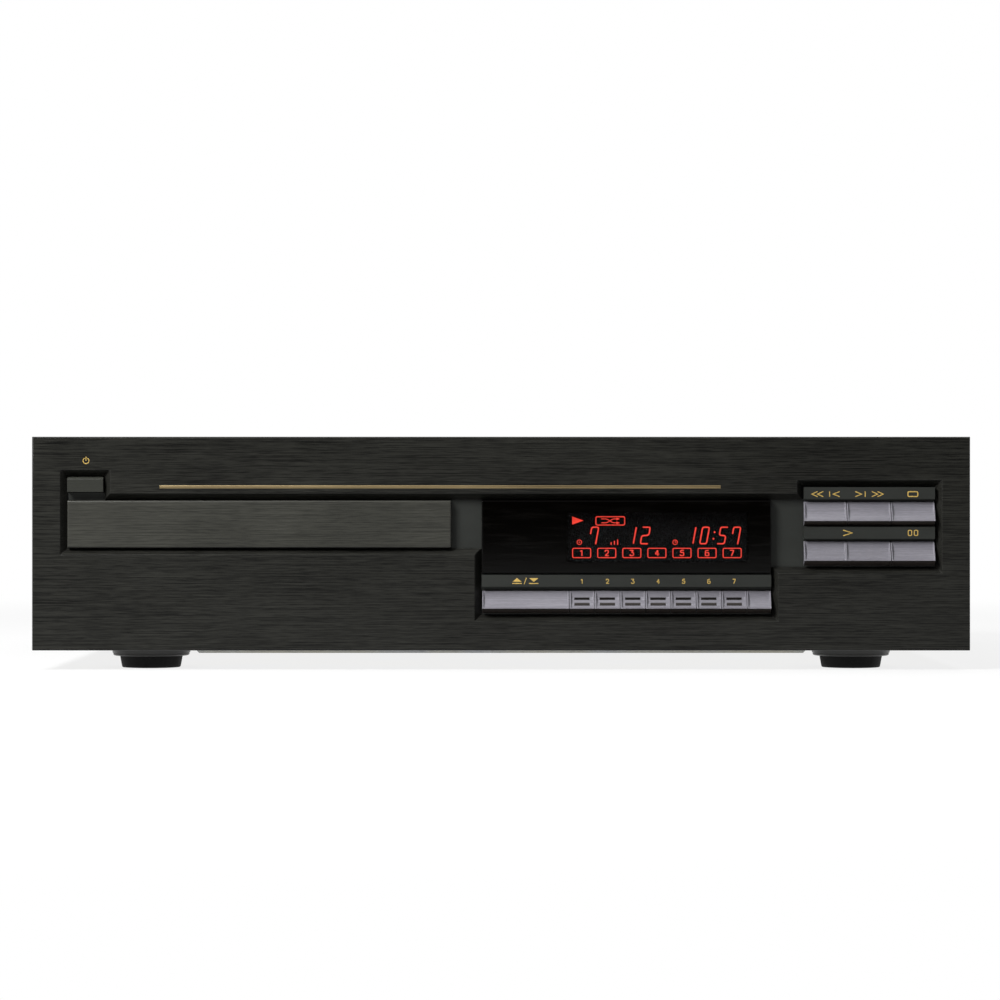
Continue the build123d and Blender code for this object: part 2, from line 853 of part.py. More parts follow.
with BuildPart() as front_boards:
    board_span = (board_y, board_y + board_thick)
    # display board, with feet that hold the display tube off it
    block(grow(window, board_margin), board_span, (row_low - board_margin, window_z[1] + board_margin))
    for foot in grow(tube_x, -2 * tube_foot):
        block(around(foot, tube_foot), (board_y - tube_stand, board_y), tube_z)
    # keypad board
    block(grow(pad, board_margin), board_span, (pad_low - board_margin, strip1_z[1] + board_margin))
front_boards.part.label = "front_boards"
export_step(front_boards.part, "parts/front_boards.step")

with BuildPart() as key_switches:
    plunger_y = stem_end + key_travel + sheet_gap
    for stem_x, stem_z in stem_places:
        half = switch_size / 2
        block(around(stem_x, half), (plunger_y + plunger_length, board_y), around(stem_z, half))
        rod(stem_x, (plunger_y, plunger_y + plunger_length), stem_z, plunger_radius)
key_switches.part.label = "key_switches"
export_step(key_switches.part, "parts/key_switches.step")

# ================================================================ power button and its switch

button_back = bezel_back + button_tail
pusher = (middle_of(button), middle_of(button_z))

with BuildPart() as power_button:
    block(button, (face_y + button_inset, button_back), button_z)
    chamfer(power_button.edges().group_by(Axis.Y)[0].sort_by(Axis.Z)[-1], button_edge)
    # stops behind the bezel, and the pusher for the switch
    stop_y = bezel_back + fit_gap
    stop_z = grow(button_z, stem_catch)
    block(grow(button, -button_stop), (stop_y, stop_y + stem_catch), stop_z)
    rod(pusher[0], (button_back, button_back + pusher_length), pusher[1], pusher_radius)
power_button.part.label = "power_button"
export_step(power_button.part, "parts/power_button.step")

with BuildPart() as power_switch:
    # the switch body takes the pusher, and a bracket reaches forward to the bezel
    body_front = button_back + button_travel + power_switch_gap
    body = (body_front, body_front + power_switch_length)
    bracket_z = (pusher[1] + power_switch_half, pusher[1] + power_switch_half + switch_bracket)
    block(around(pusher[0], power_switch_half), body, around(pusher[1], power_switch_half))
    bore_y = (body[0] - through, body[0] + pusher_length + button_travel)
    rod(pusher[0], bore_y, pusher[1], pusher_radius + fit_gap, Mode.SUBTRACT)
    block(around(pusher[0], power_switch_half), (bezel_back, body[1]), bracket_z)
power_switch.part.label = "power_switch"
export_step(power_switch.part, "parts/power_switch.step")

# ================================================================ keys

with BuildPart() as load_key:
    add(pressed_key(load_span, row_z, whole_scoop(load_span)))
load_key.part.label = "load_key"
export_step(load_key.part, "parts/load_key.step")

for number, span in enumerate(disc_spans, start=1):
    with BuildPart() as disc_key:
        add(pressed_key(span, row_z, whole_scoop(span), slotted=True))
    disc_key.part.label = f"disc_key_{number}"
    export_step(disc_key.part, f"parts/disc_key_{number}.step")

with BuildPart() as key_row_cap:
    # the blank cap at the row's end doesn't move, and seats on the recess floor
    add(key_cap(cap_span, row_z, whole_scoop(cap_span), back=floor_y))
key_row_cap.part.label = "key_row_cap"
export_step(key_row_cap.part, "parts/key_row_cap.step")

with BuildPart() as skip_back_key:
    add(pressed_key(back_span, upper_z, whole_scoop(back_span)))
skip_back_key.part.label = "skip_back_key"
export_step(skip_back_key.part, "parts/skip_back_key.step")

with BuildPart() as skip_forward_key:
    add(pressed_key(forward_span, upper_z, whole_scoop(forward_span)))
skip_forward_key.part.label = "skip_forward_key"
export_step(skip_forward_key.part, "parts/skip_forward_key.step")

with BuildPart() as stop_key:
    add(pressed_key(stop_span, upper_z, whole_scoop(stop_span)))
stop_key.part.label = "stop_key"
export_step(stop_key.part, "parts/stop_key.step")

with BuildPart() as play_key:
    # a double key: a rib divides its scoop
    rib_x = joints[0] - play_rib
    play_scoops = [(play_span[0] + rim, rib_x - rim), (rib_x + rim, play_span[1] - rim)]
    add(pressed_key(play_span, lower_z, play_scoops))
play_key.part.label = "play_key"
export_step(play_key.part, "parts/play_key.step")

with BuildPart() as pause_key:
    add(pressed_key(pause_span, lower_z, whole_scoop(pause_span)))
pause_key.part.label = "pause_key"
export_step(pause_key.part, "parts/pause_key.step")

# ================================================================ drawer and carriers

with BuildPart() as tray_front:
    block(tray, (face_y + tray_inset, drawer_front), (tray_low, tray_top))
    chamfer(tray_front.faces().sort_by(Axis.Y)[0].edges(), tray_edge)
tray_front.part.label = "tray_front"
export_step(tray_front.part, "parts/tray_front.step")

with BuildPart() as drawer:
    # deck with a slot for the turntable and the pickup
    deck_span = (deck_low, deck_z)
    rail_z = (deck_z, deck_z + rail_height)
    block(around(tray_x, drawer_half), (drawer_front, drawer_back), deck_span)
    slot_y = (play_y - turntable_radius - slot_ahead, drawer_back + through)
    block(around(tray_x, deck_slot / 2), slot_y, grow(deck_span, through), Mode.SUBTRACT)
    # rails beside the carrier, flanges that run in the base's grooves and a front wall
    for side in (-1, 1):
        block(mirrored(side, (rail_inner, rail_outer)), (drawer_front, rack_end), rail_z)
        block(mirrored(side, (rail_inner, drawer_half)), (drawer_front, rack_end), deck_span)
    block(around(tray_x, rail_outer), (drawer_front, carrier_front - end_gap), rail_z)
    # rack under the right side: a gap between two teeth meets the drive gear's tooth
    rack_y = (drive_y - rack_lead * pi * gear_module, rack_end)
    bar_x = rack_line + bar_offset
    toothed_bar(rack_line, rack_y, (rack_low, deck_low), -1, (bar_x, bar_x + rack_bar))
drawer.part.label = "drawer"
export_step(drawer.part, "parts/drawer.step")

with BuildPart() as loaded_carrier:
    add(disc_carrier(carrier_front, deck_z))
loaded_carrier.part.label = "loaded_carrier"
export_step(loaded_carrier.part, "parts/loaded_carrier.step")

with BuildPart() as stocked_carriers:
    for index in range(stock_count):
        add(disc_carrier(stock_front, deck_z + stock_pitch * (index + 1)))
stocked_carriers.part.label = "stocked_carriers"
export_step(stocked_carriers.part, "parts/stocked_carriers.step")

# ================================================================ mechanism base

with BuildPart() as mechanism_base:
    block(around(tray_x, wall_out + base_side), (base_front, base_back), (floor_low, floor_top))
    # shelf for the lift motor
    shelf_x = (tray_x + wall_out, lift_x + shelf_end)
    block(shelf_x, around(pin_y, shelf_half), (floor_low, floor_top))
    # walls with the grooves that the drawer's flanges run in
    for side in (-1, 1):
        wall_y = (base_front, rack_end)
        ledge_x = mirrored(side, (wall_in - groove_depth, wall_in))
        lower_ledge = (deck_low - fit_gap - groove_ledge, deck_low - fit_gap)
        upper_ledge = (deck_z + fit_gap, deck_z + fit_gap + groove_ledge)
        block(mirrored(side, (wall_in, wall_out)), wall_y, (floor_top, wall_top))
        block(ledge_x, wall_y, lower_ledge)
        block(ledge_x, wall_y, upper_ledge)
    # bosses and studs that the gears turn on
    for gear_x, boss_top in ((drive_x, gear_z[0]), (pinion_x, pulley_z[0])):
        post(gear_x, drive_y, (floor_top, gear_z[1] - end_gap), stud)
        post(gear_x, drive_y, (floor_top, boss_top - fit_gap), boss)
    # shouldered posts that guide and carry the pickup frame
    for side in (-1, 1):
        for ear_y in ear_ys:
            ear_middle = tray_x + side * ear_x
            post(ear_middle, ear_y, (floor_top, plate_z[0] - 2 * running), ear_shoulder)
            post(ear_middle, ear_y, (floor_top, plate_z[1] + pickup_lift + ear_spare), ear_post)
    # guide for the lift cam: a pad under it and a rib at each side
    guide_y = (pin_y - cam_run - guide_ends[0], pin_y + guide_ends[1])
    inner_rib = (cam[0] - guide_wall, cam[0] - fit_gap)
    outer_rib = (cam[1] + fit_gap, cam[1] + guide_wall + fit_gap)
    block((inner_rib[0], outer_rib[1]), guide_y, (floor_top, floor_top + guide_pad))
    block(inner_rib, guide_y, (floor_top, floor_top + guide_heights[0]))
    block(outer_rib, guide_y, (floor_top, floor_top + guide_heights[1]))
mechanism_base.part.label = "mechanism_base"
export_step(mechanism_base.part, "parts/mechanism_base.step")

# ================================================================ drawer drive

with BuildPart() as drive_gear:
    add(spur_gear(drive_x, drive_y, gear_z, drive_teeth, 0))
drive_gear.part.label = "drive_gear"
export_step(drive_gear.part, "parts/drive_gear.step")

groove_z = around(middle_of(pulley_z), groove_height / 2)

with BuildPart() as pulley_gear:
    # pinion teeth below the rack, turned half a pitch to mesh, over the belt's pulley
    add(spur_gear(pinion_x, drive_y, (gear_z[0], rack_low - end_gap), pinion_teeth, 180 / pinion_teeth))
    post(pinion_x, drive_y, (pulley_z[0], gear_z[0]), pulley_radius)
    ring_cut(pinion_x, drive_y, groove_z, pulley_radius, pulley_run)
    post(pinion_x, drive_y, (pulley_z[0] - through, gear_z[1]), stud + running, Mode.SUBTRACT)
pulley_gear.part.label = "pulley_gear"
export_step(pulley_gear.part, "parts/pulley_gear.step")

with BuildPart() as motor_pulley:
    post(motor_x, drive_y, pulley_z, motor_pulley_radius + pulley_groove)
    ring_cut(motor_x, drive_y, groove_z, motor_pulley_radius + pulley_groove, motor_pulley_radius)
    post(motor_x, drive_y, grow(pulley_z, through), shaft_radius + running, Mode.SUBTRACT)
motor_pulley.part.label = "motor_pulley"
export_step(motor_pulley.part, "parts/motor_pulley.step")

with BuildPart() as drive_belt:
    large = pulley_run + belt_gap
    small = motor_pulley_radius + belt_gap
    belt_low = middle_of(pulley_z) - belt_height / 2
    extrude(loop_face(large + belt_thick, small + belt_thick, belt_low), amount=belt_height)
    extrude(loop_face(large, small, belt_low), amount=belt_height, mode=Mode.SUBTRACT)
drive_belt.part.label = "drive_belt"
export_step(drive_belt.part, "parts/drive_belt.step")

with BuildPart() as loading_motor:
    nose_radius, nose_height = motor_nose
    can_top = pulley_z[0] - nose_height - motor_clear
    post(motor_x, drive_y, (floor_top, can_top), motor_radius)
    post(motor_x, drive_y, (can_top, can_top + nose_height), nose_radius)
    post(motor_x, drive_y, (can_top + nose_height, pulley_z[1] + end_gap), shaft_radius)
loading_motor.part.label = "loading_motor"
export_step(loading_motor.part, "parts/loading_motor.step")

# ================================================================ pickup

with BuildPart() as pickup_frame:
    plate_cut = grow(plate_z, through)
    block(around(tray_x, pickup_half), pickup_y, plate_z)
    # window that the sled travels in, and a hole for the spindle
    window_y = (play_y + turntable_radius, pickup_y[1] - sled_margin)
    block(around(tray_x, sled_half + sled_gap), window_y, plate_cut, Mode.SUBTRACT)
    post(tray_x, play_y, plate_cut, spindle_hub + sheet_gap, Mode.SUBTRACT)
    # ears that slide on the base's posts
    for side in (-1, 1):
        for ear_y in ear_ys:
            ear_middle = tray_x + side * ear_x
            block(around(ear_middle, ear_half), around(ear_y, ear_half), plate_z)
            post(ear_middle, ear_y, plate_cut, ear_post + running, Mode.SUBTRACT)
    # blocks that hold the sled's rods
    for side in (-1, 1):
        for end_y in (rod_y[0], rod_y[1] - rod_block_length):
            rod_middle = tray_x + side * rod_offset
            end_span = (end_y, end_y + rod_block_length)
            block(around(rod_middle, rod_block), end_span, (plate_z[1], rod_z + rod_cap))
            rod(rod_middle, grow(end_span, through), rod_z, rod_radius, Mode.SUBTRACT)
pickup_frame.part.label = "pickup_frame"
export_step(pickup_frame.part, "parts/pickup_frame.step")

with BuildPart() as sled_rods:
    for side in (-1, 1):
        rod(tray_x + side * rod_offset, rod_y, rod_z, rod_radius)
sled_rods.part.label = "sled_rods"
export_step(sled_rods.part, "parts/sled_rods.step")

with BuildPart() as pickup_sled:
    sled_z = (plate_z[0] - sled_depth, rod_z + sled_top)
    block(around(tray_x, sled_half), sled_y, sled_z)
    # arms that run on the rods
    for side in (-1, 1):
        arm_x = mirrored(side, (sled_half, rod_offset + rod_block))
        block(arm_x, grow(sled_y, -sled_air), (rod_z - rod_cap, sled_z[1]))
        rod(tray_x + side * rod_offset, grow(sled_y, through), rod_z, rod_radius + running, Mode.SUBTRACT)
    post(tray_x, lens_y, (sled_z[1], lens_top - lens_height), lens_ring)
pickup_sled.part.label = "pickup_sled"
export_step(pickup_sled.part, "parts/pickup_sled.step")

with BuildPart() as pickup_lens:
    post(tray_x, lens_y, (lens_top - lens_height, lens_top), lens_radius)
    fillet(pickup_lens.edges().group_by(Axis.Z)[-1], lens_round)
pickup_lens.part.label = "pickup_lens"
export_step(pickup_lens.part, "parts/pickup_lens.step")

with BuildPart() as spindle_motor:
    hub_top = plate_z[1] + spindle_rise
    post(tray_x, play_y, (plate_z[0] - spindle_motor_height, plate_z[0]), spindle_motor_radius)
    post(tray_x, play_y, (plate_z[0], hub_top), spindle_hub)
    post(tray_x, play_y, (hub_top, seat_z + cone_height / 2), shaft_radius)
spindle_motor.part.label = "spindle_motor"
export_step(spindle_motor.part, "parts/spindle_motor.step")

with BuildPart() as turntable:
    disc_low = seat_z - turntable_thick
    post(tray_x, play_y, (hub_top + end_gap, disc_low), turntable_hub)
    post(tray_x, play_y, (disc_low, seat_z), turntable_radius)
    with Locations((tray_x, play_y, seat_z + cone_height / 2)):
        Cone(cone_radii[0], cone_radii[1], cone_height)
    bore_z = (plate_z[1], seat_z + cone_height + through)
    post(tray_x, play_y, bore_z, shaft_radius + running, Mode.SUBTRACT)
turntable.part.label = "turntable"
export_step(turntable.part, "parts/turntable.step")

# ================================================================ clamp

with BuildPart() as clamp_bridge:
    block(around(tray_x, wall_out), around(play_y, bridge_half), bridge_z)
    post(tray_x, play_y, grow(bridge_z, through), bridge_hole, Mode.SUBTRACT)
clamp_bridge.part.label = "clamp_bridge"
export_step(clamp_bridge.part, "parts/clamp_bridge.step")

with BuildPart() as clamp_disc:
    # a puck that hangs in the bridge by its flange, recessed for the turntable's cone
    flange_low = bridge_z[1] + fit_gap
    post(tray_x, play_y, (puck_low, flange_low), puck_radius)
    post(tray_x, play_y, (flange_low, flange_low + puck_cap), puck_flange)
    recess_radius, recess_depth = puck_recess
    post(tray_x, play_y, (puck_low - through, puck_low + recess_depth), recess_radius, Mode.SUBTRACT)
clamp_disc.part.label = "clamp_disc"
export_step(clamp_disc.part, "parts/clamp_disc.step")

# ================================================================ stocker and its lift

with BuildPart() as stocker_cage:
    for side in (-1, 1):
        block(mirrored(side, (cage_half, cage_out)), cage_y, cage_z)
        # a shelf under each carrier, and one for the carrier that is in the drawer
        shelf_x = mirrored(side, (cage_half - shelf_reach, cage_half))
        for index in range(stock_count + 1):
            shelf_top = deck_z + stock_pitch * index
            block(shelf_x, (stock_front, stock_back), (shelf_top - shelf_thick, shelf_top))
        # lugs that slide on the guide posts
        lug_x = mirrored(side, (cage_out, post_x + lug_wall))
        for lug_y in post_ys:
            for lug_z in ((cage_z[0], cage_z[0] + lug_height), (cage_z[1] - lug_height, cage_z[1])):
                block(lug_x, around(lug_y, lug_half), lug_z)
                bore = post_radius + running
                post(tray_x + side * post_x, lug_y, grow(lug_z, through), bore, Mode.SUBTRACT)
    # floor, roof and back
    block(around(tray_x, cage_out), cage_y, (cage_z[0], cage_z[0] + cage_plate))
    block(around(tray_x, cage_out), cage_y, (cage_z[1] - cage_plate, cage_z[1]))
    block(around(tray_x, cage_out), (stock_back + end_gap, cage_y[1]), cage_z)
    # pin that the lift cam's slot moves up and down
    cross_pin((tray_x + cage_out, cam[1] - pin_spare), pin_y, pin_z, pin_radius)
stocker_cage.part.label = "stocker_cage"
export_step(stocker_cage.part, "parts/stocker_cage.step")

with BuildPart() as guide_posts:
    for side in (-1, 1):
        for post_y in post_ys:
            post(tray_x + side * post_x, post_y, post_z, post_radius)
guide_posts.part.label = "guide_posts"
export_step(guide_posts.part, "parts/guide_posts.step")

with BuildPart() as lift_cam:
    block(cam, cam_y, (floor_top + cam_lift, pin_z + cam_head))
    # slanted slot for the cage's pin
    with BuildSketch(Plane.YZ.offset(cam[0] - through)) as slot:
        with Locations((pin_y, pin_z), (pin_y + cam_run, pin_z - lift_travel)):
            Circle(pin_radius + fit_gap)
        make_hull()
    extrude(slot.sketch, amount=cam_sheet + 2 * through, mode=Mode.SUBTRACT)
    # rack: a gap between two teeth meets the lift gear's tooth
    cam_rack_y = (pin_y - cam_lead * pi * gear_module, cam_y[1])
    toothed_bar(cam_line, cam_rack_y, cam_rack_z, 1, (cam[1], cam_line - bar_offset))
lift_cam.part.label = "lift_cam"
export_step(lift_cam.part, "parts/lift_cam.step")

with BuildPart() as lift_gear:
    add(spur_gear(lift_x, pin_y, cam_rack_z, lift_teeth, 0))
lift_gear.part.label = "lift_gear"
export_step(lift_gear.part, "parts/lift_gear.step")

with BuildPart() as lift_motor:
    can_top = cam_rack_z[0] - lift_motor_gap
    nose_top = cam_rack_z[0] - fit_gap
    post(lift_x, pin_y, (floor_top, can_top), lift_motor_radius)
    post(lift_x, pin_y, (can_top, nose_top), lift_motor_nose)
    post(lift_x, pin_y, (nose_top, cam_rack_z[1] + end_gap), stud)
lift_motor.part.label = "lift_motor"
export_step(lift_motor.part, "parts/lift_motor.step")

# ================================================================ case

with BuildPart() as chassis_pan:
    # one bent sheet: side flanges, flat sides over the feet and a lowered middle
    flange_top = panel_low + pan_flange
    step_x = lowered_half + lowered_by
    outer = [(pan_half, flange_top), (pan_half, pan_z[0]), (step_x, pan_z[0])]
    outer += [(lowered_half, pan_z[0] - lowered_by)]
    inner = [(lowered_half, pan_z[1] - lowered_by), (step_x, pan_z[1])]
    inner += [(pan_half - pan_sheet, pan_z[1]), (pan_half - pan_sheet, flange_top)]
    outer_left = [(-x, z) for x, z in outer]
    inner_left = [(-x, z) for x, z in inner]
    with BuildSketch(front_plane(rear_in)):
        Polygon(*outer, *reversed(outer_left), *reversed(inner_left), *inner, align=None)
    extrude(amount=rear_in - bezel_back)
    lip_y_span = (bezel_back, bezel_back + pan_sheet)
    block(around(0, pan_half), lip_y_span, (middle_of(pan_z), pan_z[1] + pan_lip))
    # pillars under the mechanism and under the main board
    for pillar_x in around(tray_x, wall_out + pillar_side):
        for pillar_y in (base_front + base_side, base_back - base_side):
            post(pillar_x, pillar_y, (sheet_middle(pillar_x), floor_low), pillar_radii[0])
    for pillar_x in grow(board_x, -pillar_inset):
        for pillar_y in (board_back - main_board_length + pillar_inset, board_back - pillar_inset):
            post(pillar_x, pillar_y, (sheet_middle(pillar_x), board_z[0]), pillar_radii[1])
chassis_pan.part.label = "chassis_pan"
export_step(chassis_pan.part, "parts/chassis_pan.step")

with BuildPart() as top_cover:
    block(around(0, cover_half), (floor_y, rear_y), (cover_low, cover_top))
    inside_z = (cover_low - through, inner_top)
    block(around(0, inner_half), (floor_y - through, rear_y + through), inside_z, Mode.SUBTRACT)
    # vents over the main board and over the transformer
    with BuildSketch(Plane.XY.offset(inner_top - through)) as vents:
        with Locations(*[(vent_x, rear_y - vent_back) for vent_x in (middle_of(board_x), transformer_x)]):
            with GridLocations(vent_pitch, 1.0, vent_count, 1):
                SlotOverall(vent_length, vent_width, rotation=90)
    extrude(amount=cover_sheet + 2 * through, mode=Mode.SUBTRACT)
top_cover.part.label = "top_cover"
export_step(top_cover.part, "parts/top_cover.step")

inlet_body = (around(inlet_x, inlet_half[0]), around(inlet_z, inlet_half[1]))

with BuildPart() as rear_panel:
    rear_cut = (rear_in - through, rear_y + through)
    rear_z = (panel_low - lowered_by + sheet_gap, inner_top - sheet_gap)
    block(around(0, pan_half), (rear_in, rear_y), rear_z)
    for jack_x in jack_xs:
        rod(jack_x, rear_cut, jack_z, jack_radius + jack_collar_gap, Mode.SUBTRACT)
    block(grow(inlet_body[0], sheet_gap), rear_cut, grow(inlet_body[1], sheet_gap), Mode.SUBTRACT)
rear_panel.part.label = "rear_panel"
export_step(rear_panel.part, "parts/rear_panel.step")

with BuildPart() as jack_block:
    pair_x = (jack_xs[0] - jack_body, jack_xs[1] + jack_body)
    body_z = (board_z[1], jack_z + jack_body)
    for span in (pair_x, around(jack_xs[2], jack_body)):
        block(span, (rear_in - jack_body_depth, rear_in), body_z)
    for jack_x in jack_xs:
        rod(jack_x, (rear_in - jack_root, rear_in + through), jack_z, jack_radius, Mode.SUBTRACT)
jack_block.part.label = "jack_block"
export_step(jack_block.part, "parts/jack_block.step")

with BuildPart() as output_jacks:
    barrel_end = rear_y + jack_reach
    for jack_x in jack_xs:
        rod(jack_x, (rear_in - jack_root, barrel_end), jack_z, jack_radius)
        rod(jack_x, (rear_y, rear_y + jack_flange), jack_z, jack_radius + jack_collar)
        rod(jack_x, (rear_y, barrel_end + through), jack_z, jack_hole, Mode.SUBTRACT)
output_jacks.part.label = "output_jacks"
export_step(output_jacks.part, "parts/output_jacks.step")

with BuildPart() as mains_inlet:
    block(inlet_body[0], (rear_y - inlet_depth, rear_y + inlet_proud), inlet_body[1])
    flange_x = grow(inlet_body[0], inlet_flange)
    block(flange_x, (rear_y, rear_y + inlet_proud), grow(inlet_body[1], inlet_flange))
    socket_y = (rear_y - socket_depth, rear_y + inlet_proud + through)
    block(around(inlet_x, socket_half[0]), socket_y, around(inlet_z, socket_half[1]), Mode.SUBTRACT)
mains_inlet.part.label = "mains_inlet"
export_step(mains_inlet.part, "parts/mains_inlet.step")

with BuildPart() as inlet_pins:
    for side in (-1, 1):
        pin_x = inlet_x + side * inlet_pin_offset
        rod(pin_x, (rear_y - socket_depth, rear_y - inlet_proud), inlet_z, inlet_pin_radius)
inlet_pins.part.label = "inlet_pins"
export_step(inlet_pins.part, "parts/inlet_pins.step")

# ================================================================ power supply and main board

with BuildPart() as transformer_core:
    core_y = around(transformer_y, core_depth / 2)
    block(around(transformer_x, core_half), core_y, core_z)
    for side in (-1, 1):
        coil_x = sorted((transformer_x + side * core_limb, transformer_x + side * core_window))
        block(coil_x, grow(core_y, through), grow(core_z, -core_yoke), Mode.SUBTRACT)
    foot_z = (core_z[0], core_z[0] + core_foot_thick)
    block(around(transformer_x, core_half + core_foot), core_y, foot_z)
transformer_core.part.label = "transformer_core"
export_step(transformer_core.part, "parts/transformer_core.step")

with BuildPart() as transformer_coil:
    coil_z = grow(core_z, -core_yoke - coil_gap)
    coil_y = grow(core_y, coil_overhang)
    block(around(transformer_x, core_window - coil_gap), coil_y, coil_z)
    fillet(transformer_coil.edges().filter_by(Axis.Z), coil_corner)
    limb_x = around(transformer_x, core_limb + coil_gap)
    block(limb_x, grow(core_y, coil_gap), core_z, Mode.SUBTRACT)
transformer_coil.part.label = "transformer_coil"
export_step(transformer_coil.part, "parts/transformer_coil.step")

with BuildPart() as main_board:
    block(board_x, (board_back - main_board_length, board_back), board_z)
main_board.part.label = "main_board"
export_step(main_board.part, "parts/main_board.step")

with BuildPart() as capacitors:
    # two for the mains side and two for the regulators at the transformer's end, two at the jacks
    for x, from_back, (radius, height) in (
        (board_x[1] - 25.0, 60.0, reservoir),
        (board_x[1] - 48.0, 60.0, reservoir),
        (board_x[1] - 20.0, 95.0, regulator),
        (board_x[1] - 40.0, 95.0, regulator),
        (jack_xs[0], 24.0, coupling),
        (jack_xs[1], 24.0, coupling),
    ):
        post(x, board_back - from_back, (board_z[1], board_z[1] + height), radius)
capacitors.part.label = "capacitors"
export_step(capacitors.part, "parts/capacitors.step")

# ================================================================ feet and screws

with BuildPart() as feet:
    for place in foot_places:
        with Locations((*place, (pad_height + panel_low) / 2)):
            Cone(foot_cap[0], foot_cap[1], panel_low - pad_height)
        post(*place, (pad_height - through, panel_low + through), foot_bore, Mode.SUBTRACT)
feet.part.label = "feet"
export_step(feet.part, "parts/feet.step")

with BuildPart() as foot_pads:
    for place in foot_places:
        with Locations((*place, pad_height / 2)):
            Cone(pad_radii[0], pad_radii[1], pad_height)
        post(*place, (-through, pad_height + through), pad_hole, Mode.SUBTRACT)
foot_pads.part.label = "foot_pads"
export_step(foot_pads.part, "parts/foot_pads.step")

with BuildPart() as case_screws:
    # two heads at each side of the cover, a row at the back and one in each foot
    for side in (-1, 1):
        head_x = sorted((side * cover_half, side * (cover_half + side_screw_head)))
        for screw_y in (face_y + side_screw_inset, rear_y - side_screw_inset):
            cross_pin(head_x, screw_y, panel_low + side_screw_rise, side_screw)
    screw_reach = pan_half - rear_screw_inset
    for index in range(rear_screw_count):
        screw_x = -screw_reach + 2 * screw_reach * index / (rear_screw_count - 1)
        rod(screw_x, (rear_y, rear_y + rear_screw_head), inner_top - rear_screw_drop, rear_screw)
    for place in foot_places:
        post(*place, (pad_height - foot_screw_height, pad_height), foot_screw)
case_screws.part.label = "case_screws"
export_step(case_screws.part, "parts/case_screws.step")
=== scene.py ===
"""Looks of the seven disc changer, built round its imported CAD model.

Sizes are in millimetres and are turned into metres when a mesh is made. +Z is up, +X is the viewer's
right and the front faces -Y.
"""

import logging
import math
from dataclasses import dataclass, replace
from enum import Enum
from typing import Any, ClassVar, Iterable, Optional, Sequence

import bmesh
import bpy
import numpy as np
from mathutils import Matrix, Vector


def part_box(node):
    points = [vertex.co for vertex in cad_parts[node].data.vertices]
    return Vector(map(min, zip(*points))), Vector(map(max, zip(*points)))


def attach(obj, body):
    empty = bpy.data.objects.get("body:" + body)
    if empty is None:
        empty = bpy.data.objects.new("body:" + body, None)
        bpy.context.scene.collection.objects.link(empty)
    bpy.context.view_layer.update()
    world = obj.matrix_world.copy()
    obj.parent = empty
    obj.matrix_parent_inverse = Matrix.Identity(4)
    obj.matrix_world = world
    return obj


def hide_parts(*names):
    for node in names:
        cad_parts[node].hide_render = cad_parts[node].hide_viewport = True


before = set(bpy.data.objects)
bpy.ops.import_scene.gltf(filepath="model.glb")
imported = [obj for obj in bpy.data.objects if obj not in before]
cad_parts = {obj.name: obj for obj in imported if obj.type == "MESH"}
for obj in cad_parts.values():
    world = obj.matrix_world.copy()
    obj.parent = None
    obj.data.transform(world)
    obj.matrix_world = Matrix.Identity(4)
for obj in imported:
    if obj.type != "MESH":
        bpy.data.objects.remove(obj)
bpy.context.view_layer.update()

LOG = logging.getLogger("changer")
MM = 0.001
FACE_Y = -168.0
FLOOR_Z = 0.0
COAT_ROUGHNESS = 0.12
EASED_ANGLE = math.radians(28)
FLAT_ANGLE = math.radians(0.5)
SAME_POINT = 1e-6

Path2 = np.ndarray
Colour = tuple[float, float, float]


class Axis(Enum):
    """The direction that a grain, a groove or an axis runs in."""

    X = 0
    Y = 1
    Z = 2


def linear(colour: Colour) -> tuple[float, float, float, float]:
    """A screen colour, 0 to 255, as the linear colour that shaders work with.

    Args:
        colour: Red, green and blue from 0 to 255.

    Returns:
        The linear colour, with an alpha of 1.
    """
    share = np.asarray(colour, float) / 255.0
    low, high = share / 12.92, ((share + 0.055) / 1.055) ** 2.4
    red, green, blue = np.where(share <= 0.04045, low, high).tolist()
    return (red, green, blue, 1.0)


# ---------------------------------------------------------------- shader sheets


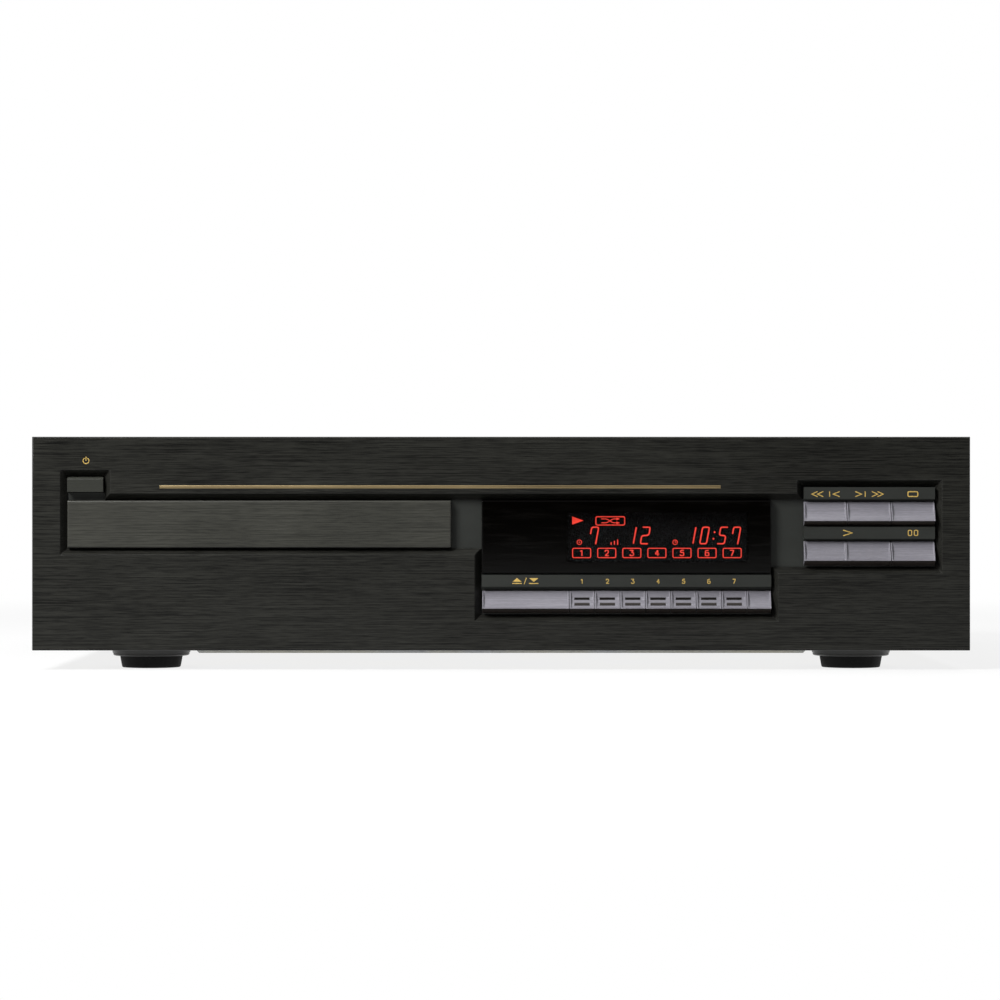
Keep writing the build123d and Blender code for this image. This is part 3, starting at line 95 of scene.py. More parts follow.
class Number:
    """A number socket. Python's operators on it add Math nodes to its sheet."""

    def __init__(self, sheet: "Sheet", socket: bpy.types.NodeSocket) -> None:
        """Wrap a socket of this sheet."""
        self.sheet = sheet
        self.socket = socket

    def _math(self, operation: str, first: Any, second: Any) -> "Number":
        """Add one Math node for two operands."""
        made = self.sheet.node("Math", {"operation": operation}, {0: first, 1: second})
        return Number(self.sheet, made.outputs[0])

    def __add__(self, other: Any) -> "Number":
        """This plus another value."""
        return self._math("ADD", self, other)

    def __radd__(self, other: Any) -> "Number":
        """Another value plus this."""
        return self._math("ADD", other, self)

    def __sub__(self, other: Any) -> "Number":
        """This less another value."""
        return self._math("SUBTRACT", self, other)

    def __rsub__(self, other: Any) -> "Number":
        """Another value less this."""
        return self._math("SUBTRACT", other, self)

    def __mul__(self, other: Any) -> "Number":
        """This times another value."""
        return self._math("MULTIPLY", self, other)

    def __rmul__(self, other: Any) -> "Number":
        """Another value times this."""
        return self._math("MULTIPLY", other, self)

    def __truediv__(self, other: Any) -> "Number":
        """This divided by another value."""
        return self._math("DIVIDE", self, other)

    def most(self, other: Any) -> "Number":
        """The larger of this and another value."""
        return self._math("MAXIMUM", self, other)

    def within(self, span: Sequence[float], soft: float) -> "Number":
        """1 inside a span of this, faded to 0 over a soft edge outside each end."""
        return self.ramp(span[0] - soft, span[0]) * self.ramp(span[1] + soft, span[1])

    def worked(self, operation: str) -> "Number":
        """This put through a Math node that takes one value."""
        made = self.sheet.node("Math", {"operation": operation}, {0: self})
        return Number(self.sheet, made.outputs[0])

    def ramp(self, start: float, end: float, low: float = 0.0, high: float = 1.0) -> "Number":
        """Go smoothly from low to high while this goes from start to end.

        Args:
            start: Value of this at which the result is low.
            end: Value of this at which the result is high.
            low: Result up to start.
            high: Result past end.

        Returns:
            The mapped number.
        """
        sockets = {"Value": self, "From Min": start, "From Max": end, "To Min": low, "To Max": high}
        made = self.sheet.node("MapRange", {"interpolation_type": "SMOOTHSTEP", "clamp": True}, sockets)
        return Number(self.sheet, made.outputs["Result"])


class Sheet:
    """The node sheet of a material or of the world."""

    def __init__(self, owner: Any) -> None:
        """Clear the sheet of this material or world."""
        owner.use_nodes = True
        self.owner = owner
        self.tree = owner.node_tree
        self.tree.nodes.clear()
        self.place = self.node("TexCoord").outputs["Object"]

    def node(self, kind: str, settings: Optional[dict] = None, sockets: Optional[dict] = None) -> bpy.types.Node:
        """Add any shader node: first its settings, then its sockets.

        Args:
            kind: The node's type without its ShaderNode prefix.
            settings: Properties of the node.
            sockets: Values or links by the socket's name or number.

        Returns:
            The new node.
        """
        made = self.tree.nodes.new("ShaderNode" + kind)
        for key, value in (settings or {}).items():
            setattr(made, key, value)
        for key, value in (sockets or {}).items():
            source = value.socket if isinstance(value, Number) else value
            if isinstance(source, bpy.types.NodeSocket):
                self.tree.links.new(source, made.inputs[key])
            else:
                made.inputs[key].default_value = source
        return made

    def along(self, axis: Axis) -> Number:
        """The object's coordinate along an axis, in millimetres."""
        split = self.node("SeparateXYZ", None, {"Vector": self.place})
        return Number(self, split.outputs[axis.value]) * 1000.0

    def noise(self, size: Sequence[float], detail: float = 3.0, shift: float = 0.0) -> Number:
        """Soft noise whose features have this size along X, Y and Z.

        Args:
            size: Size of a feature along each axis, in millimetres.
            detail: Octaves of finer noise.
            shift: Moves the pattern, so that two layers differ.

        Returns:
            The noise, mostly between 0.3 and 0.7.
        """
        scale = tuple(1.0 / (MM * one) for one in size)
        sockets = {"Vector": self.place, "Scale": scale, "Location": (shift, shift * 1.7, shift * 2.3)}
        spread = self.node("Mapping", None, sockets)
        made = self.node("TexNoise", None, {"Vector": spread.outputs[0], "Scale": 1.0, "Detail": detail})
        return Number(self, made.outputs[0])

    def cells(self, size: Sequence[float], feature: str = "F1") -> Number:
        """Distance inside a field of irregular cells of this size along X, Y and Z, in millimetres."""
        scale = tuple(1.0 / (MM * one) for one in size)
        spread = self.node("Mapping", None, {"Vector": self.place, "Scale": scale})
        made = self.node("TexVoronoi", {"feature": feature}, {"Vector": spread.outputs[0], "Scale": 1.0})
        return Number(self, made.outputs["Distance"])

    def mix(self, factor: Any, first: Any, second: Any) -> bpy.types.NodeSocket:
        """Blend two colours. A factor of 1 gives the second."""
        made = self.node("Mix", {"data_type": "RGBA"}, {0: factor, 6: first, 7: second})
        return made.outputs[2]

    def shade(self, tone: Number, colour: Colour, spread: float) -> bpy.types.NodeSocket:
        """A colour that goes darker and lighter with a tone from 0 to 1.

        Args:
            tone: Where the colour lies in its spread.
            colour: The middle colour, 0 to 255.
            spread: Share by which the ends differ from the middle.

        Returns:
            The colour's socket.
        """
        middle = linear(colour)
        ends = [tuple(min(1.0, part * share) for part in middle[:3]) + (1.0,) for share in (1 - spread, 1 + spread)]
        return self.mix(tone, ends[0], ends[1])

    def bump(self, height: Number, depth: float, strength: float = 1.0) -> bpy.types.NodeSocket:
        """A normal for a relief of this height times this depth in millimetres."""
        made = self.node("Bump", None, {"Height": height, "Distance": depth * MM, "Strength": strength})
        return made.outputs["Normal"]


@dataclass(frozen=True)
class Finish:
    """What every finish holds. A subclass adds its pattern."""

    name: str
    colour: Colour
    roughness: float = 0.5
    metallic: float = 0.0
    specular: float = 0.5
    coat: float = 0.0

    def pattern(self, sheet: Sheet) -> dict[str, Any]:
        """Sockets of the surface that this finish sets or varies.

        Args:
            sheet: The material's nodes.

        Returns:
            Values or links by the name of the surface's socket.
        """
        raise NotImplementedError

    def material(self) -> bpy.types.Material:
        """The material of this finish, made the first time that it is asked for."""
        known = bpy.data.materials.get(self.name)
        if known is not None:
            return known
        sheet = Sheet(bpy.data.materials.new(self.name))
        sockets = {
            "Metallic": self.metallic,
            "Specular IOR Level": self.specular,
            "Coat Weight": self.coat,
            "Coat Roughness": COAT_ROUGHNESS,
            "Roughness": self.roughness,
        }
        sockets.update(self.pattern(sheet))
        surface = sheet.node("BsdfPrincipled", None, sockets)
        sheet.node("OutputMaterial", None, {"Surface": surface.outputs[0]})
        return sheet.owner

    def dress(self, piece: bpy.types.Object) -> None:
        """Put this finish on every material slot of a piece."""
        if not piece.material_slots:
            piece.data.materials.append(None)
        for place in piece.material_slots:
            place.link = "OBJECT"
            place.material = self.material()


@dataclass(frozen=True)
class Streaked(Finish):
    """Brushed, rolled, turned or laminated metal: fine streaks of one size along each axis."""

    streak: tuple[float, float, float] = (60.0, 0.3, 0.3)
    contrast: float = 0.25
    depth: float = 0.012
    patchy: float = 0.12

    def pattern(self, sheet: Sheet) -> dict[str, Any]:
        """Long streaks, short finer ones between them, and slow patches where a hand has rubbed."""
        wide = sheet.noise(self.streak, 1)
        fine = sheet.noise([max(part * 0.12, 0.25) for part in self.streak], 1, 5.0)
        cloud = sheet.noise((55, 55, 30), 2, 9.0)
        grain = (wide * 0.55 + fine * 0.45).ramp(0.36, 0.64)
        tone = (grain * self.contrast + cloud.ramp(0.3, 0.7) * self.patchy) / (self.contrast + self.patchy)
        rough = grain.ramp(0, 1, self.roughness + 0.08, self.roughness - 0.06) + cloud.ramp(0.35, 0.7) * 0.04
        return {
            "Base Color": sheet.shade(tone, self.colour, self.contrast + self.patchy),
            "Roughness": rough,
            "Normal": sheet.bump(grain, self.depth),
        }


@dataclass(frozen=True)
class KeyPaint(Streaked):
    """Satin paint on the front of a key. Painted shade colours its downward faces dark brown, and on the slotted keys
    each slot opening too.
    """

    # Colour of the painted shade on downward faces and inside each slot.
    shade_brown: Colour = (34, 28, 24)
    slots_from: Optional[float] = None
    slot_pitch: float = 11.63
    slot_half: float = 3.52
    soft: float = 0.02
    slot_spans: tuple[tuple[float, float], ...] = ((29.6, 30.9), (32.16, 33.28))

    def pattern(self, sheet: Sheet) -> dict[str, Any]:
        """Paint where the surface faces forwards or up, and dark brown painted shade where it faces down and inside
        each slot.
        """
        sockets = super().pattern(sheet)
        normal = sheet.node("NewGeometry").outputs["Normal"]
        up = Number(sheet, sheet.node("SeparateXYZ", None, {"Vector": normal}).outputs[2])
        # Painted shade: faces that point down turn dark brown and a little rougher.
        painted_shade = up.ramp(-0.25, -0.45)
        # Painted shade inside each slot of the slotted keys as well.
        if self.slots_from is not None:
            painted_shade = painted_shade.most(self.slot_shade(sheet))
        sockets["Base Color"] = sheet.mix(painted_shade, sockets["Base Color"], linear(self.shade_brown))
        sockets["Roughness"] = sockets["Roughness"] + painted_shade * 0.2
        return sockets

    def slot_shade(self, sheet: Sheet) -> Number:
        """1 inside each slot, where shade is painted: near the middle of each pitch along X, and within a span along
        Z.
        """
        pitches = (sheet.along(Axis.X) - self.slots_from) / self.slot_pitch + 0.5
        away = (pitches.worked("FRACT") - 0.5).worked("ABSOLUTE")
        across = (away * self.slot_pitch).ramp(self.slot_half + self.soft, self.slot_half)
        up = sheet.along(Axis.Z)
        low, high = (up.within(span, self.soft) for span in self.slot_spans)
        return across * low.most(high)


@dataclass(frozen=True)
class Moulded(Finish):
    """Moulded plastic with a spark-eroded grain, flow marks and rubbed places."""

    grain: float = 0.35
    depth: float = 0.012
    spread: float = 0.16

    def pattern(self, sheet: Sheet) -> dict[str, Any]:
        """Fine grain in the relief, slow flow marks in the colour and scuffs in the roughness."""
        flow = sheet.noise((40, 22, 14), 3)
        grain = sheet.noise((self.grain,) * 3, 2, 4.0)
        scuff = sheet.noise((9, 2.2, 6), 4, 8.0).ramp(0.56, 0.72)
        tone = flow.ramp(0.3, 0.7) * 0.7 + grain.ramp(0.3, 0.7) * 0.3
        return {
            "Base Color": sheet.shade(tone, self.colour, self.spread),
            "Roughness": grain.ramp(0.3, 0.7, self.roughness - 0.05, self.roughness + 0.06) - scuff * 0.08,
            "Normal": sheet.bump(grain, self.depth),
        }


@dataclass(frozen=True)
class Sprayed(Finish):
    """Satin paint sprayed on sheet steel: orange peel, faint dust and a few rubbed patches."""

    peel: float = 1.1

    def pattern(self, sheet: Sheet) -> dict[str, Any]:
        """Orange peel in the relief, dust specks and handled patches in the colour and roughness."""
        peel = sheet.noise((self.peel,) * 3, 2)
        speck = sheet.cells((2.6, 2.6, 2.6)).ramp(0.09, 0.02)
        handled = sheet.noise((60, 45, 40), 3, 6.0).ramp(0.45, 0.68)
        tone = handled * 0.3 + peel.ramp(0.3, 0.7) * 0.45 + speck * 0.25
        return {
            "Base Color": sheet.shade(tone, self.colour, 0.3),
            "Roughness": self.roughness + handled * 0.03 - peel.ramp(0.3, 0.7) * 0.05 + speck * 0.1,
            "Normal": sheet.bump(peel - speck * 0.4, 0.022),
        }


@dataclass(frozen=True)
class Plated(Finish):
    """Zinc plated steel sheet: rolled lines, and a passivated tint that drifts to yellow and blue."""

    tint: Colour = (180, 177, 164)
    cool: Colour = (168, 171, 177)

    def pattern(self, sheet: Sheet) -> dict[str, Any]:
        """Rolled lines along Y under slow tinted clouds."""
        rolled = sheet.noise((0.5, 26, 0.5), 2).ramp(0.35, 0.65)
        cloud = sheet.noise((34, 48, 30), 3, 2.0)
        stain = sheet.noise((5, 5, 5), 3, 7.0).ramp(0.6, 0.75)
        warm = sheet.mix(cloud.ramp(0.42, 0.66), linear(self.colour), linear(self.tint))
        tinted = sheet.mix(cloud.ramp(0.5, 0.3), warm, linear(self.cool))
        dull = sheet.mix(stain * 0.15 + rolled * 0.12, tinted, linear((92, 90, 86)))
        return {
            "Base Color": dull,
            "Roughness": self.roughness + rolled * 0.08 + stain * 0.2,
            "Normal": sheet.bump(rolled, 0.01),
        }


@dataclass(frozen=True)
class Rubber(Finish):
    """Rubber: matt, with a fine pebble and a bloom of dust."""

    def pattern(self, sheet: Sheet) -> dict[str, Any]:
        """Pebbled relief and a paler bloom."""
        pebble = sheet.cells((0.6, 0.6, 0.6)).ramp(0.1, 0.6)
        bloom = sheet.noise((7, 7, 7), 3).ramp(0.5, 0.72)
        return {
            "Base Color": sheet.mix(bloom * 0.2, linear(self.colour), linear((58, 56, 54))),
            "Roughness": self.roughness + bloom * 0.1 - pebble * 0.06,
            "Normal": sheet.bump(pebble, 0.02),
        }


@dataclass(frozen=True)
class Board(Finish):
    """Phenolic paper board with copper tracks under its lacquer."""

    copper: Colour = (150, 104, 62)
    lacquer: Colour = (62, 74, 40)
    track: float = 0.3

    def pattern(self, sheet: Sheet) -> dict[str, Any]:
        """Tracks as the joints of two brick patterns, pads as rings, over a mottled board."""
        step = sheet.node("Mapping", None, {"Vector": sheet.place, "Scale": (1000.0, 1000.0, 1000.0)}).outputs[0]
        tracks = []
        for wide, tall in ((34.0, 2.3), (4.6, 47.0)):
            settings = {"offset": 0.37, "offset_frequency": 3, "squash": 0.7, "squash_frequency": 2}
            sockets = {"Vector": step, "Scale": 1.0, "Mortar Size": self.track, "Mortar Smooth": 0.15}
            sockets.update({"Brick Width": wide, "Row Height": tall})
            tracks.append(Number(sheet, sheet.node("TexBrick", settings, sockets).outputs["Fac"]))
        track = tracks[0].most(tracks[1] * 0.8)
        pad = sheet.cells((6, 6, 6))
        ring = pad.ramp(0.24, 0.2) * pad.ramp(0.07, 0.1)
        fibre = sheet.noise((1.4, 3.8, 1.4), 4, 3.0)
        paper = sheet.shade(fibre.ramp(0.3, 0.7), self.colour, 0.2)
        masked = sheet.mix(track * 0.3, paper, linear(self.lacquer))
        return {
            "Base Color": sheet.mix(ring, masked, linear(self.copper)),
            "Metallic": ring * 0.8,
            "Roughness": self.roughness - track * 0.12 - ring * 0.15,
            "Normal": sheet.bump(track + ring, 0.02),
        }


@dataclass(frozen=True)
class Taped(Finish):
    """A coil wrapped in film tape, with laps along its axis."""

    lap: float = 7.5

    def pattern(self, sheet: Sheet) -> dict[str, Any]:
        """Laps as steps along Y, and wires that show faintly through the film."""
        wave = (sheet.along(Axis.Y) + sheet.noise((20, 20, 20), 1) * 2.0) * (math.tau / self.lap)
        lap = wave.worked("SINE")
        wires = sheet.noise((30, 0.6, 30), 1, 4.0).ramp(0.4, 0.6)
        edge = lap.ramp(0.86, 1.0)
        tone = 0.6 - edge * 0.45 + wires * 0.3
        return {
            "Base Color": sheet.shade(tone, self.colour, 0.35),
            "Roughness": self.roughness + edge * 0.2,
            "Normal": sheet.bump(lap.ramp(0.7, 1.0) + wires * 0.3, 0.08),
        }


@dataclass(frozen=True)
class Sleeved(Finish):
    """Shrunk plastic sleeve on a capacitor, with a pale stripe and a bare metal top."""

    stripe: Colour = (150, 158, 170)

    def pattern(self, sheet: Sheet) -> dict[str, Any]:
        """Upward faces are aluminium, faces towards the front left carry the stripe."""
        normal = sheet.node("NewGeometry").outputs["Normal"]
        turned = sheet.node("SeparateXYZ", None, {"Vector": normal})
        up = Number(sheet, turned.outputs[2]).ramp(0.9, 0.97)
        side = Number(sheet, turned.outputs[0]) * -0.6 - Number(sheet, turned.outputs[1]) * 0.8
        stripe = side.ramp(0.9, 0.93)
        shrunk = sheet.noise((5, 5, 1.2), 3)
        sleeve = sheet.mix(stripe, sheet.shade(shrunk, self.colour, 0.3), linear(self.stripe))
        return {
            "Base Color": sheet.mix(up, sleeve, linear((178, 180, 182))),
            "Metallic": up,
            "Roughness": self.roughness + shrunk.ramp(0.3, 0.7) * 0.1,
            "Normal": sheet.bump(shrunk, 0.03),
        }


@dataclass(frozen=True)
class Glass(Finish):
    """Glass over dark parts, with a faint mesh of fine cells below its surface."""

    mesh: float = 1.0
    wires: Colour = (40, 44, 46)

    def pattern(self, sheet: Sheet) -> dict[str, Any]:
        """A fine cell mesh in the colour and smears in the gloss."""
        cell = sheet.cells((self.mesh, self.mesh, self.mesh), "DISTANCE_TO_EDGE").ramp(0.1, 0.04)
        smear = sheet.noise((14, 14, 5), 3).ramp(0.45, 0.7)
        return {
            "Base Color": sheet.mix(cell * 0.5, linear(self.colour), linear(self.wires)),
            "Roughness": self.roughness + smear * 0.06,
            "Normal": sheet.bump(smear, 0.004),
        }


@dataclass(frozen=True)
class Smoked(Finish):
    """A window of near black acrylic, clear only in front of the display tube."""

    view_x: tuple[float, float] = (31.0, 112.5)
    view_z: tuple[float, float] = (50.3, 71.8)
    soft: float = 1.2
    veil: float = 0.22

    def pattern(self, sheet: Sheet) -> dict[str, Any]:
        """Its alpha falls inside the viewing area, and faint wipe marks lie on its gloss."""
        across, up = sheet.along(Axis.X), sheet.along(Axis.Z)
        inside = across.within(self.view_x, self.soft) * up.within(self.view_z, self.soft)
        wipe = sheet.noise((24, 24, 3), 4).ramp(0.45, 0.75)
        return {
            "Base Color": sheet.shade(wipe, self.colour, 0.3),
            "Alpha": 1.0 - inside * (1.0 - self.veil),
            "Roughness": self.roughness + wipe * 0.05,
            "Normal": sheet.bump(wipe, 0.002),
        }


@dataclass(frozen=True)
class Ink(Finish):
    """Printed ink: slightly uneven cover over a satin surface."""

    def pattern(self, sheet: Sheet) -> dict[str, Any]:
        """Thin places in the ink show darker."""
        cover = sheet.noise((0.5, 0.5, 0.5), 3).ramp(0.3, 0.55)
        return {
            "Base Color": sheet.shade(cover, self.colour, 0.16),
            "Roughness": self.roughness + cover * 0.1,
            "Normal": sheet.bump(cover, 0.01),
        }


@dataclass(frozen=True)
class Glow(Finish):
    """Lit segments of the display, crossed by the tube's fine wires."""

    strength: float = 1.6

    def pattern(self, sheet: Sheet) -> dict[str, Any]:
        """A steady glow that dips a little at each wire and towards a segment's ends."""
        uneven = sheet.noise((1.4, 1.4, 1.4), 2).ramp(0.3, 0.7)
        wire = sheet.cells((0.8, 0.8, 0.8), "DISTANCE_TO_EDGE").ramp(0.08, 0.03)
        lit = sheet.shade(uneven * 0.7 + (1.0 - wire) * 0.3, self.colour, 0.2)
        return {
            "Base Color": linear((60, 16, 14)),
            "Emission Color": lit,
            "Emission Strength": self.strength,
            "Roughness": self.roughness,
        }


@dataclass(frozen=True)
class Coded(Moulded):
    """Moulded washers in two colours. Those between two places along X have the other colour."""

    other: Colour = (170, 168, 160)
    edges: tuple[float, float] = (36.8, 60.0)

    def pattern(self, sheet: Sheet) -> dict[str, Any]:
        """The moulded pattern, with the other colour between the two edges."""
        sockets = super().pattern(sheet)
        between = sheet.along(Axis.X).within(self.edges, 0.1)
        sockets["Base Color"] = sheet.mix(between, sockets["Base Color"], linear(self.other))
        return sockets


BLACK_PANEL = Streaked("black_panel", (38, 38, 35), 0.3, 0.0, 0.1, 0.12, contrast=0.7, depth=0.01)
TRAY_METAL = Streaked("tray_metal_brushed", (60, 60, 55), 0.3, 0.0, 0.2, 0.15, contrast=0.4, depth=0.008)
GOLD_LINE = Streaked("gold_line", (128, 112, 80), 0.34, 0.7, 0.5, contrast=0.1, depth=0.004)
DARK_PLASTIC = Moulded("dark_plastic_matt", (43, 45, 42), 0.46, 0.0, 0.3, grain=0.3)
KEY_SATIN = KeyPaint(
    "key_satin", (134, 132, 140), 0.32, 0.1, 0.5, streak=(24, 0.5, 0.5), contrast=0.12, depth=0.004, patchy=0.06
)
# The slotted keys also get dark brown painted shade inside each slot.
KEY_SLOTTED = replace(KEY_SATIN, name="key_slotted", slots_from=37.1)
BUTTON_SATIN = Streaked(
    "button_satin", (46, 47, 42), 0.34, 0.0, 0.25, 0.3, streak=(24, 0.5, 0.5), contrast=0.2, depth=0.006
)
WINDOW = Smoked("smoked_window", (4, 3, 2), 0.07, 0.0, 0.12)
TUBE = Glass("tube_glass_dark", (10, 9, 8), 0.12, 0.0, 0.3)
LENS = Glass("lens_coated", (38, 60, 120), 0.05, 0.0, 0.8, 1.0, mesh=3.0, wires=(84, 60, 130))
BOARD = Board("board_phenolic", (138, 104, 62), 0.5)
SWITCH = Moulded("switch_black", (44, 44, 44), 0.45, grain=0.25)
PAN = Plated("pan_zinc", (176, 177, 172), 0.36, 1.0)
COVER = Sprayed("cover_satin_black", (38, 38, 38), 0.52, 0.0, 0.3)
FOOT = Moulded("foot_satin", (60, 60, 58), 0.36, 0.0, 0.4, grain=0.4)
PAD = Rubber("pad_rubber_black", (13, 13, 13), 0.75, 0.0, 0.2)
SCREW = Streaked("screw_black_zinc", (64, 63, 60), 0.3, 0.9, 0.5, streak=(0.5, 0.5, 0.5), contrast=0.2, depth=0.006)
JACK_SHELL = Streaked("jack_plated", (214, 205, 172), 0.2, 1.0, 0.5, streak=(3, 0.3, 3), contrast=0.1, depth=0.006)
JACK_BLOCK = Moulded("jack_block_black", (40, 40, 40), 0.5, grain=0.35)
JACK_RING = Coded("jack_ring", (168, 34, 28), 0.35, grain=0.3)
BRASS = Streaked("pin_brass_turned", (206, 174, 108), 0.25, 1.0, 0.5, streak=(2, 0.3, 2), contrast=0.15, depth=0.006)
CORE = Streaked("core_laminated", (112, 106, 98), 0.42, 0.7, 0.5, streak=(40, 0.5, 40), contrast=0.4, depth=0.05)
COIL = Taped("coil_tape_yellow", (196, 168, 84), 0.26, 0.0, 0.6)
CAPACITOR = Sleeved("capacitor_sleeve_blue", (30, 40, 70), 0.24, 0.0, 0.6)
BASE = Moulded("base_black", (48, 48, 47), 0.5, grain=0.5, spread=0.2)
DRAWER = Moulded("drawer_black", (45, 45, 44), 0.44, grain=0.4, spread=0.18)
CARRIER = Moulded("carrier_grey", (66, 66, 66), 0.46, grain=0.4, spread=0.16)
GEAR = Moulded("gear_natural", (222, 219, 208), 0.36, grain=0.6, depth=0.006, spread=0.05)
MOTOR = Streaked("motor_can", (184, 184, 182), 0.28, 1.0, 0.5, streak=(9, 9, 0.4), contrast=0.16, depth=0.008)
BELT = Rubber("belt_rubber_black", (26, 26, 26), 0.6, 0.0, 0.4)
ROD = Streaked("rod_ground", (204, 205, 208), 0.14, 1.0, 0.5, streak=(0.3, 0.3, 0.3), contrast=0.08, depth=0.003)
PRESSED = Plated("pressed_zinc", (180, 180, 176), 0.34, 1.0)
GOLD_INK = Ink("gold_ink", (214, 180, 96), 0.45, 0.0, 0.4)
SEGMENT = Glow("lit_segment", (236, 66, 52), 0.4)


# ---------------------------------------------------------------- surfaces


@dataclass
class Shell:
    """A closed surface: its points in millimetres and its faces by point number."""

    points: np.ndarray
    faces: list[tuple[int, ...]]

    def volume(self) -> float:
        """Sum over the faces' fans of a . (b x c) / 6, which is negative when the faces point inwards."""
        fans = np.array([(f[0], f[i], f[i + 1]) for f in self.faces for i in range(1, len(f) - 1)])
        first, second, third = (self.points[fans[:, corner]] for corner in range(3))
        return float(np.einsum("ij,ij->i", first, np.cross(second, third)).sum() / 6)

    def outward(self) -> "Shell":
        """This surface with its faces turned to point outwards."""
        if self.volume() < 0:
            self.faces = [face[::-1] for face in self.faces]
        return self


def loft(rings: np.ndarray, closed: bool = False) -> Shell:
    """Skin a grid of rings. Point (i, j) is ring i at its place j, and each four neighbours make one face.

    Args:
        rings: Ring by place by XYZ, in millimetres.
        closed: True if the last ring joins the first. Otherwise a face closes each end.

    Returns:
        The closed surface, facing outwards.
    """
    count, around = rings.shape[:2]
    here = np.arange(count * around).reshape(count, around)
    beside = np.roll(here, -1, axis=1)
    following = [np.roll(grid, -1, axis=0) for grid in (here, beside)]
    last = count if closed else count - 1
    quads = np.stack([here[:last], beside[:last], following[1][:last], following[0][:last]], axis=-1)
    faces = [tuple(quad) for quad in quads.reshape(-1, 4).tolist()]
    if not closed:
        faces += [tuple(here[0][::-1].tolist()), tuple(here[-1].tolist())]
    return Shell(rings.reshape(-1, 3), faces).outward()


def joined(shells: Iterable[Shell]) -> Shell:
    """Several surfaces as one, with the point numbers of each moved past those before it."""
    points, faces, start = [], [], 0
    for shell in shells:
        points.append(shell.points)
        faces += [tuple(corner + start for corner in face) for face in shell.faces]
        start += len(shell.points)
    return Shell(np.vstack(points), faces)


def rounded(path: Sequence[Sequence[float]], radius: float, closed: bool = False, steps: int = 5) -> Path2:
    """Round a path's corners.

    Each corner P becomes (1-t)^2 A + 2t(1-t) P + t^2 B, with A and B a radius away on its two runs.

    Args:
        path: Corners along X and Z.
        radius: How far from the corner the round begins, at most 0.45 of the run.
        closed: True if the path is a loop.
        steps: Points of each round.

    Returns:
        The rounded path.
    """
    corners = np.asarray(path, float)
    inner = corners if closed else corners[1:-1]
    before = np.roll(corners, 1, axis=0) if closed else corners[:-2]
    after = np.roll(corners, -1, axis=0) if closed else corners[2:]
    ends = []
    for side in (before, after):
        run = side - inner
        length = np.linalg.norm(run, axis=1, keepdims=True)
        ends.append(inner + run / length * np.minimum(radius, 0.45 * length))
    t = np.linspace(0, 1, steps)[None, :, None]
    curve = (1 - t) ** 2 * ends[0][:, None] + 2 * t * (1 - t) * inner[:, None] + t**2 * ends[1][:, None]
    middle = curve.reshape(-1, 2)
    return middle if closed else np.vstack([corners[:1], middle, corners[-1:]])


def stroke(path: Path2, width: float, front: float, thick: float, closed: bool = False) -> Shell:
    """Carry a flat bar with eased front edges along a path in the XZ plane.

    A place on the path is its point plus the bar's half width along the mitred normal. At an open end the
    half width shrinks as a cosine while the place moves on as a sine, which rounds the end.

    Args:
        path: Points along X and Z.
        width: Width of the bar.
        front: Y of the bar's front.
        thick: Depth of the bar behind its front.
        closed: True if the path is a loop.

    Returns:
        The closed surface.
    """
    runs = np.diff(np.vstack([path, path[:1]]) if closed else path, axis=0)
    unit = runs / np.linalg.norm(runs, axis=1, keepdims=True)
    before = np.roll(unit, 1, axis=0) if closed else np.vstack([unit[:1], unit])
    after = unit if closed else np.vstack([unit, unit[-1:]])
    tangent = before + after
    tangent /= np.linalg.norm(tangent, axis=1, keepdims=True)
    stretch = 1.0 / np.clip((tangent * after).sum(1), 0.5, 1.0)
    centre, scale = path, stretch * width / 2
    if not closed:
        turn = np.radians([80.0, 55.0, 28.0])
        reach, shrink = np.sin(turn) * width / 2, np.cos(turn) * width / 2
        start = path[0] - unit[0] * reach[:, None]
        finish = path[-1] + unit[-1] * reach[::-1, None]
        centre = np.vstack([start, path, finish])
        tangent = np.vstack([np.tile(tangent[:1], (3, 1)), tangent, np.tile(tangent[-1:], (3, 1))])
        scale = np.concatenate([shrink, scale, shrink[::-1]])
    normal = np.stack([-tangent[:, 1], tangent[:, 0]], axis=1)
    across = np.array([1.0, 1.0, 0.86, -0.86, -1.0, -1.0])
    depth = front + thick * np.array([1.0, 0.25, 0.0, 0.0, 0.25, 1.0])
    flat = centre[:, None] + normal[:, None] * (scale[:, None] * across)[:, :, None]
    rings = np.stack([flat[..., 0], np.broadcast_to(depth, flat.shape[:2]), flat[..., 1]], axis=-1)
    return loft(rings, closed)


def plate(outline: Path2, front: float, thick: float) -> Shell:
    """A flat plate in the XZ plane: its outline at two depths, and once more drawn in to ease the front edge."""
    middle = outline.mean(axis=0)
    eased = middle + (outline - middle) * 0.95
    layers = ((outline, front + thick), (outline, front + 0.25 * thick), (eased, front))
    rings = np.stack([np.stack([flat[:, 0], np.full(len(flat), y), flat[:, 1]], axis=-1) for flat, y in layers])
    return loft(rings)


def loop(x: Sequence[float], z: Sequence[float], radius: float) -> Path2:
    """The outline of a rectangle with round corners, from its spans along X and Z."""
    return rounded([(x[0], z[0]), (x[1], z[0]), (x[1], z[1]), (x[0], z[1])], radius, closed=True)


def circle(centre: Sequence[float], radius: float, start: float = 0.0, end: float = 360.0, steps: int = 28) -> Path2:
    """Points at a radius round a centre, between two angles in degrees. A whole turn leaves out its last point."""
    whole = end - start >= 360.0
    angle = np.radians(np.linspace(start, end, steps, endpoint=not whole))
    return np.stack([centre[0] + radius * np.cos(angle), centre[1] + radius * np.sin(angle)], axis=1)


def set_along(axis: Axis, up: np.ndarray, one: np.ndarray, two: np.ndarray) -> tuple[np.ndarray, ...]:
    """Put heights on an axis and the other two coordinates on the axes that are left, in XYZ order."""
    return {Axis.X: (up, one, two), Axis.Y: (one, up, two), Axis.Z: (one, two, up)}[axis]


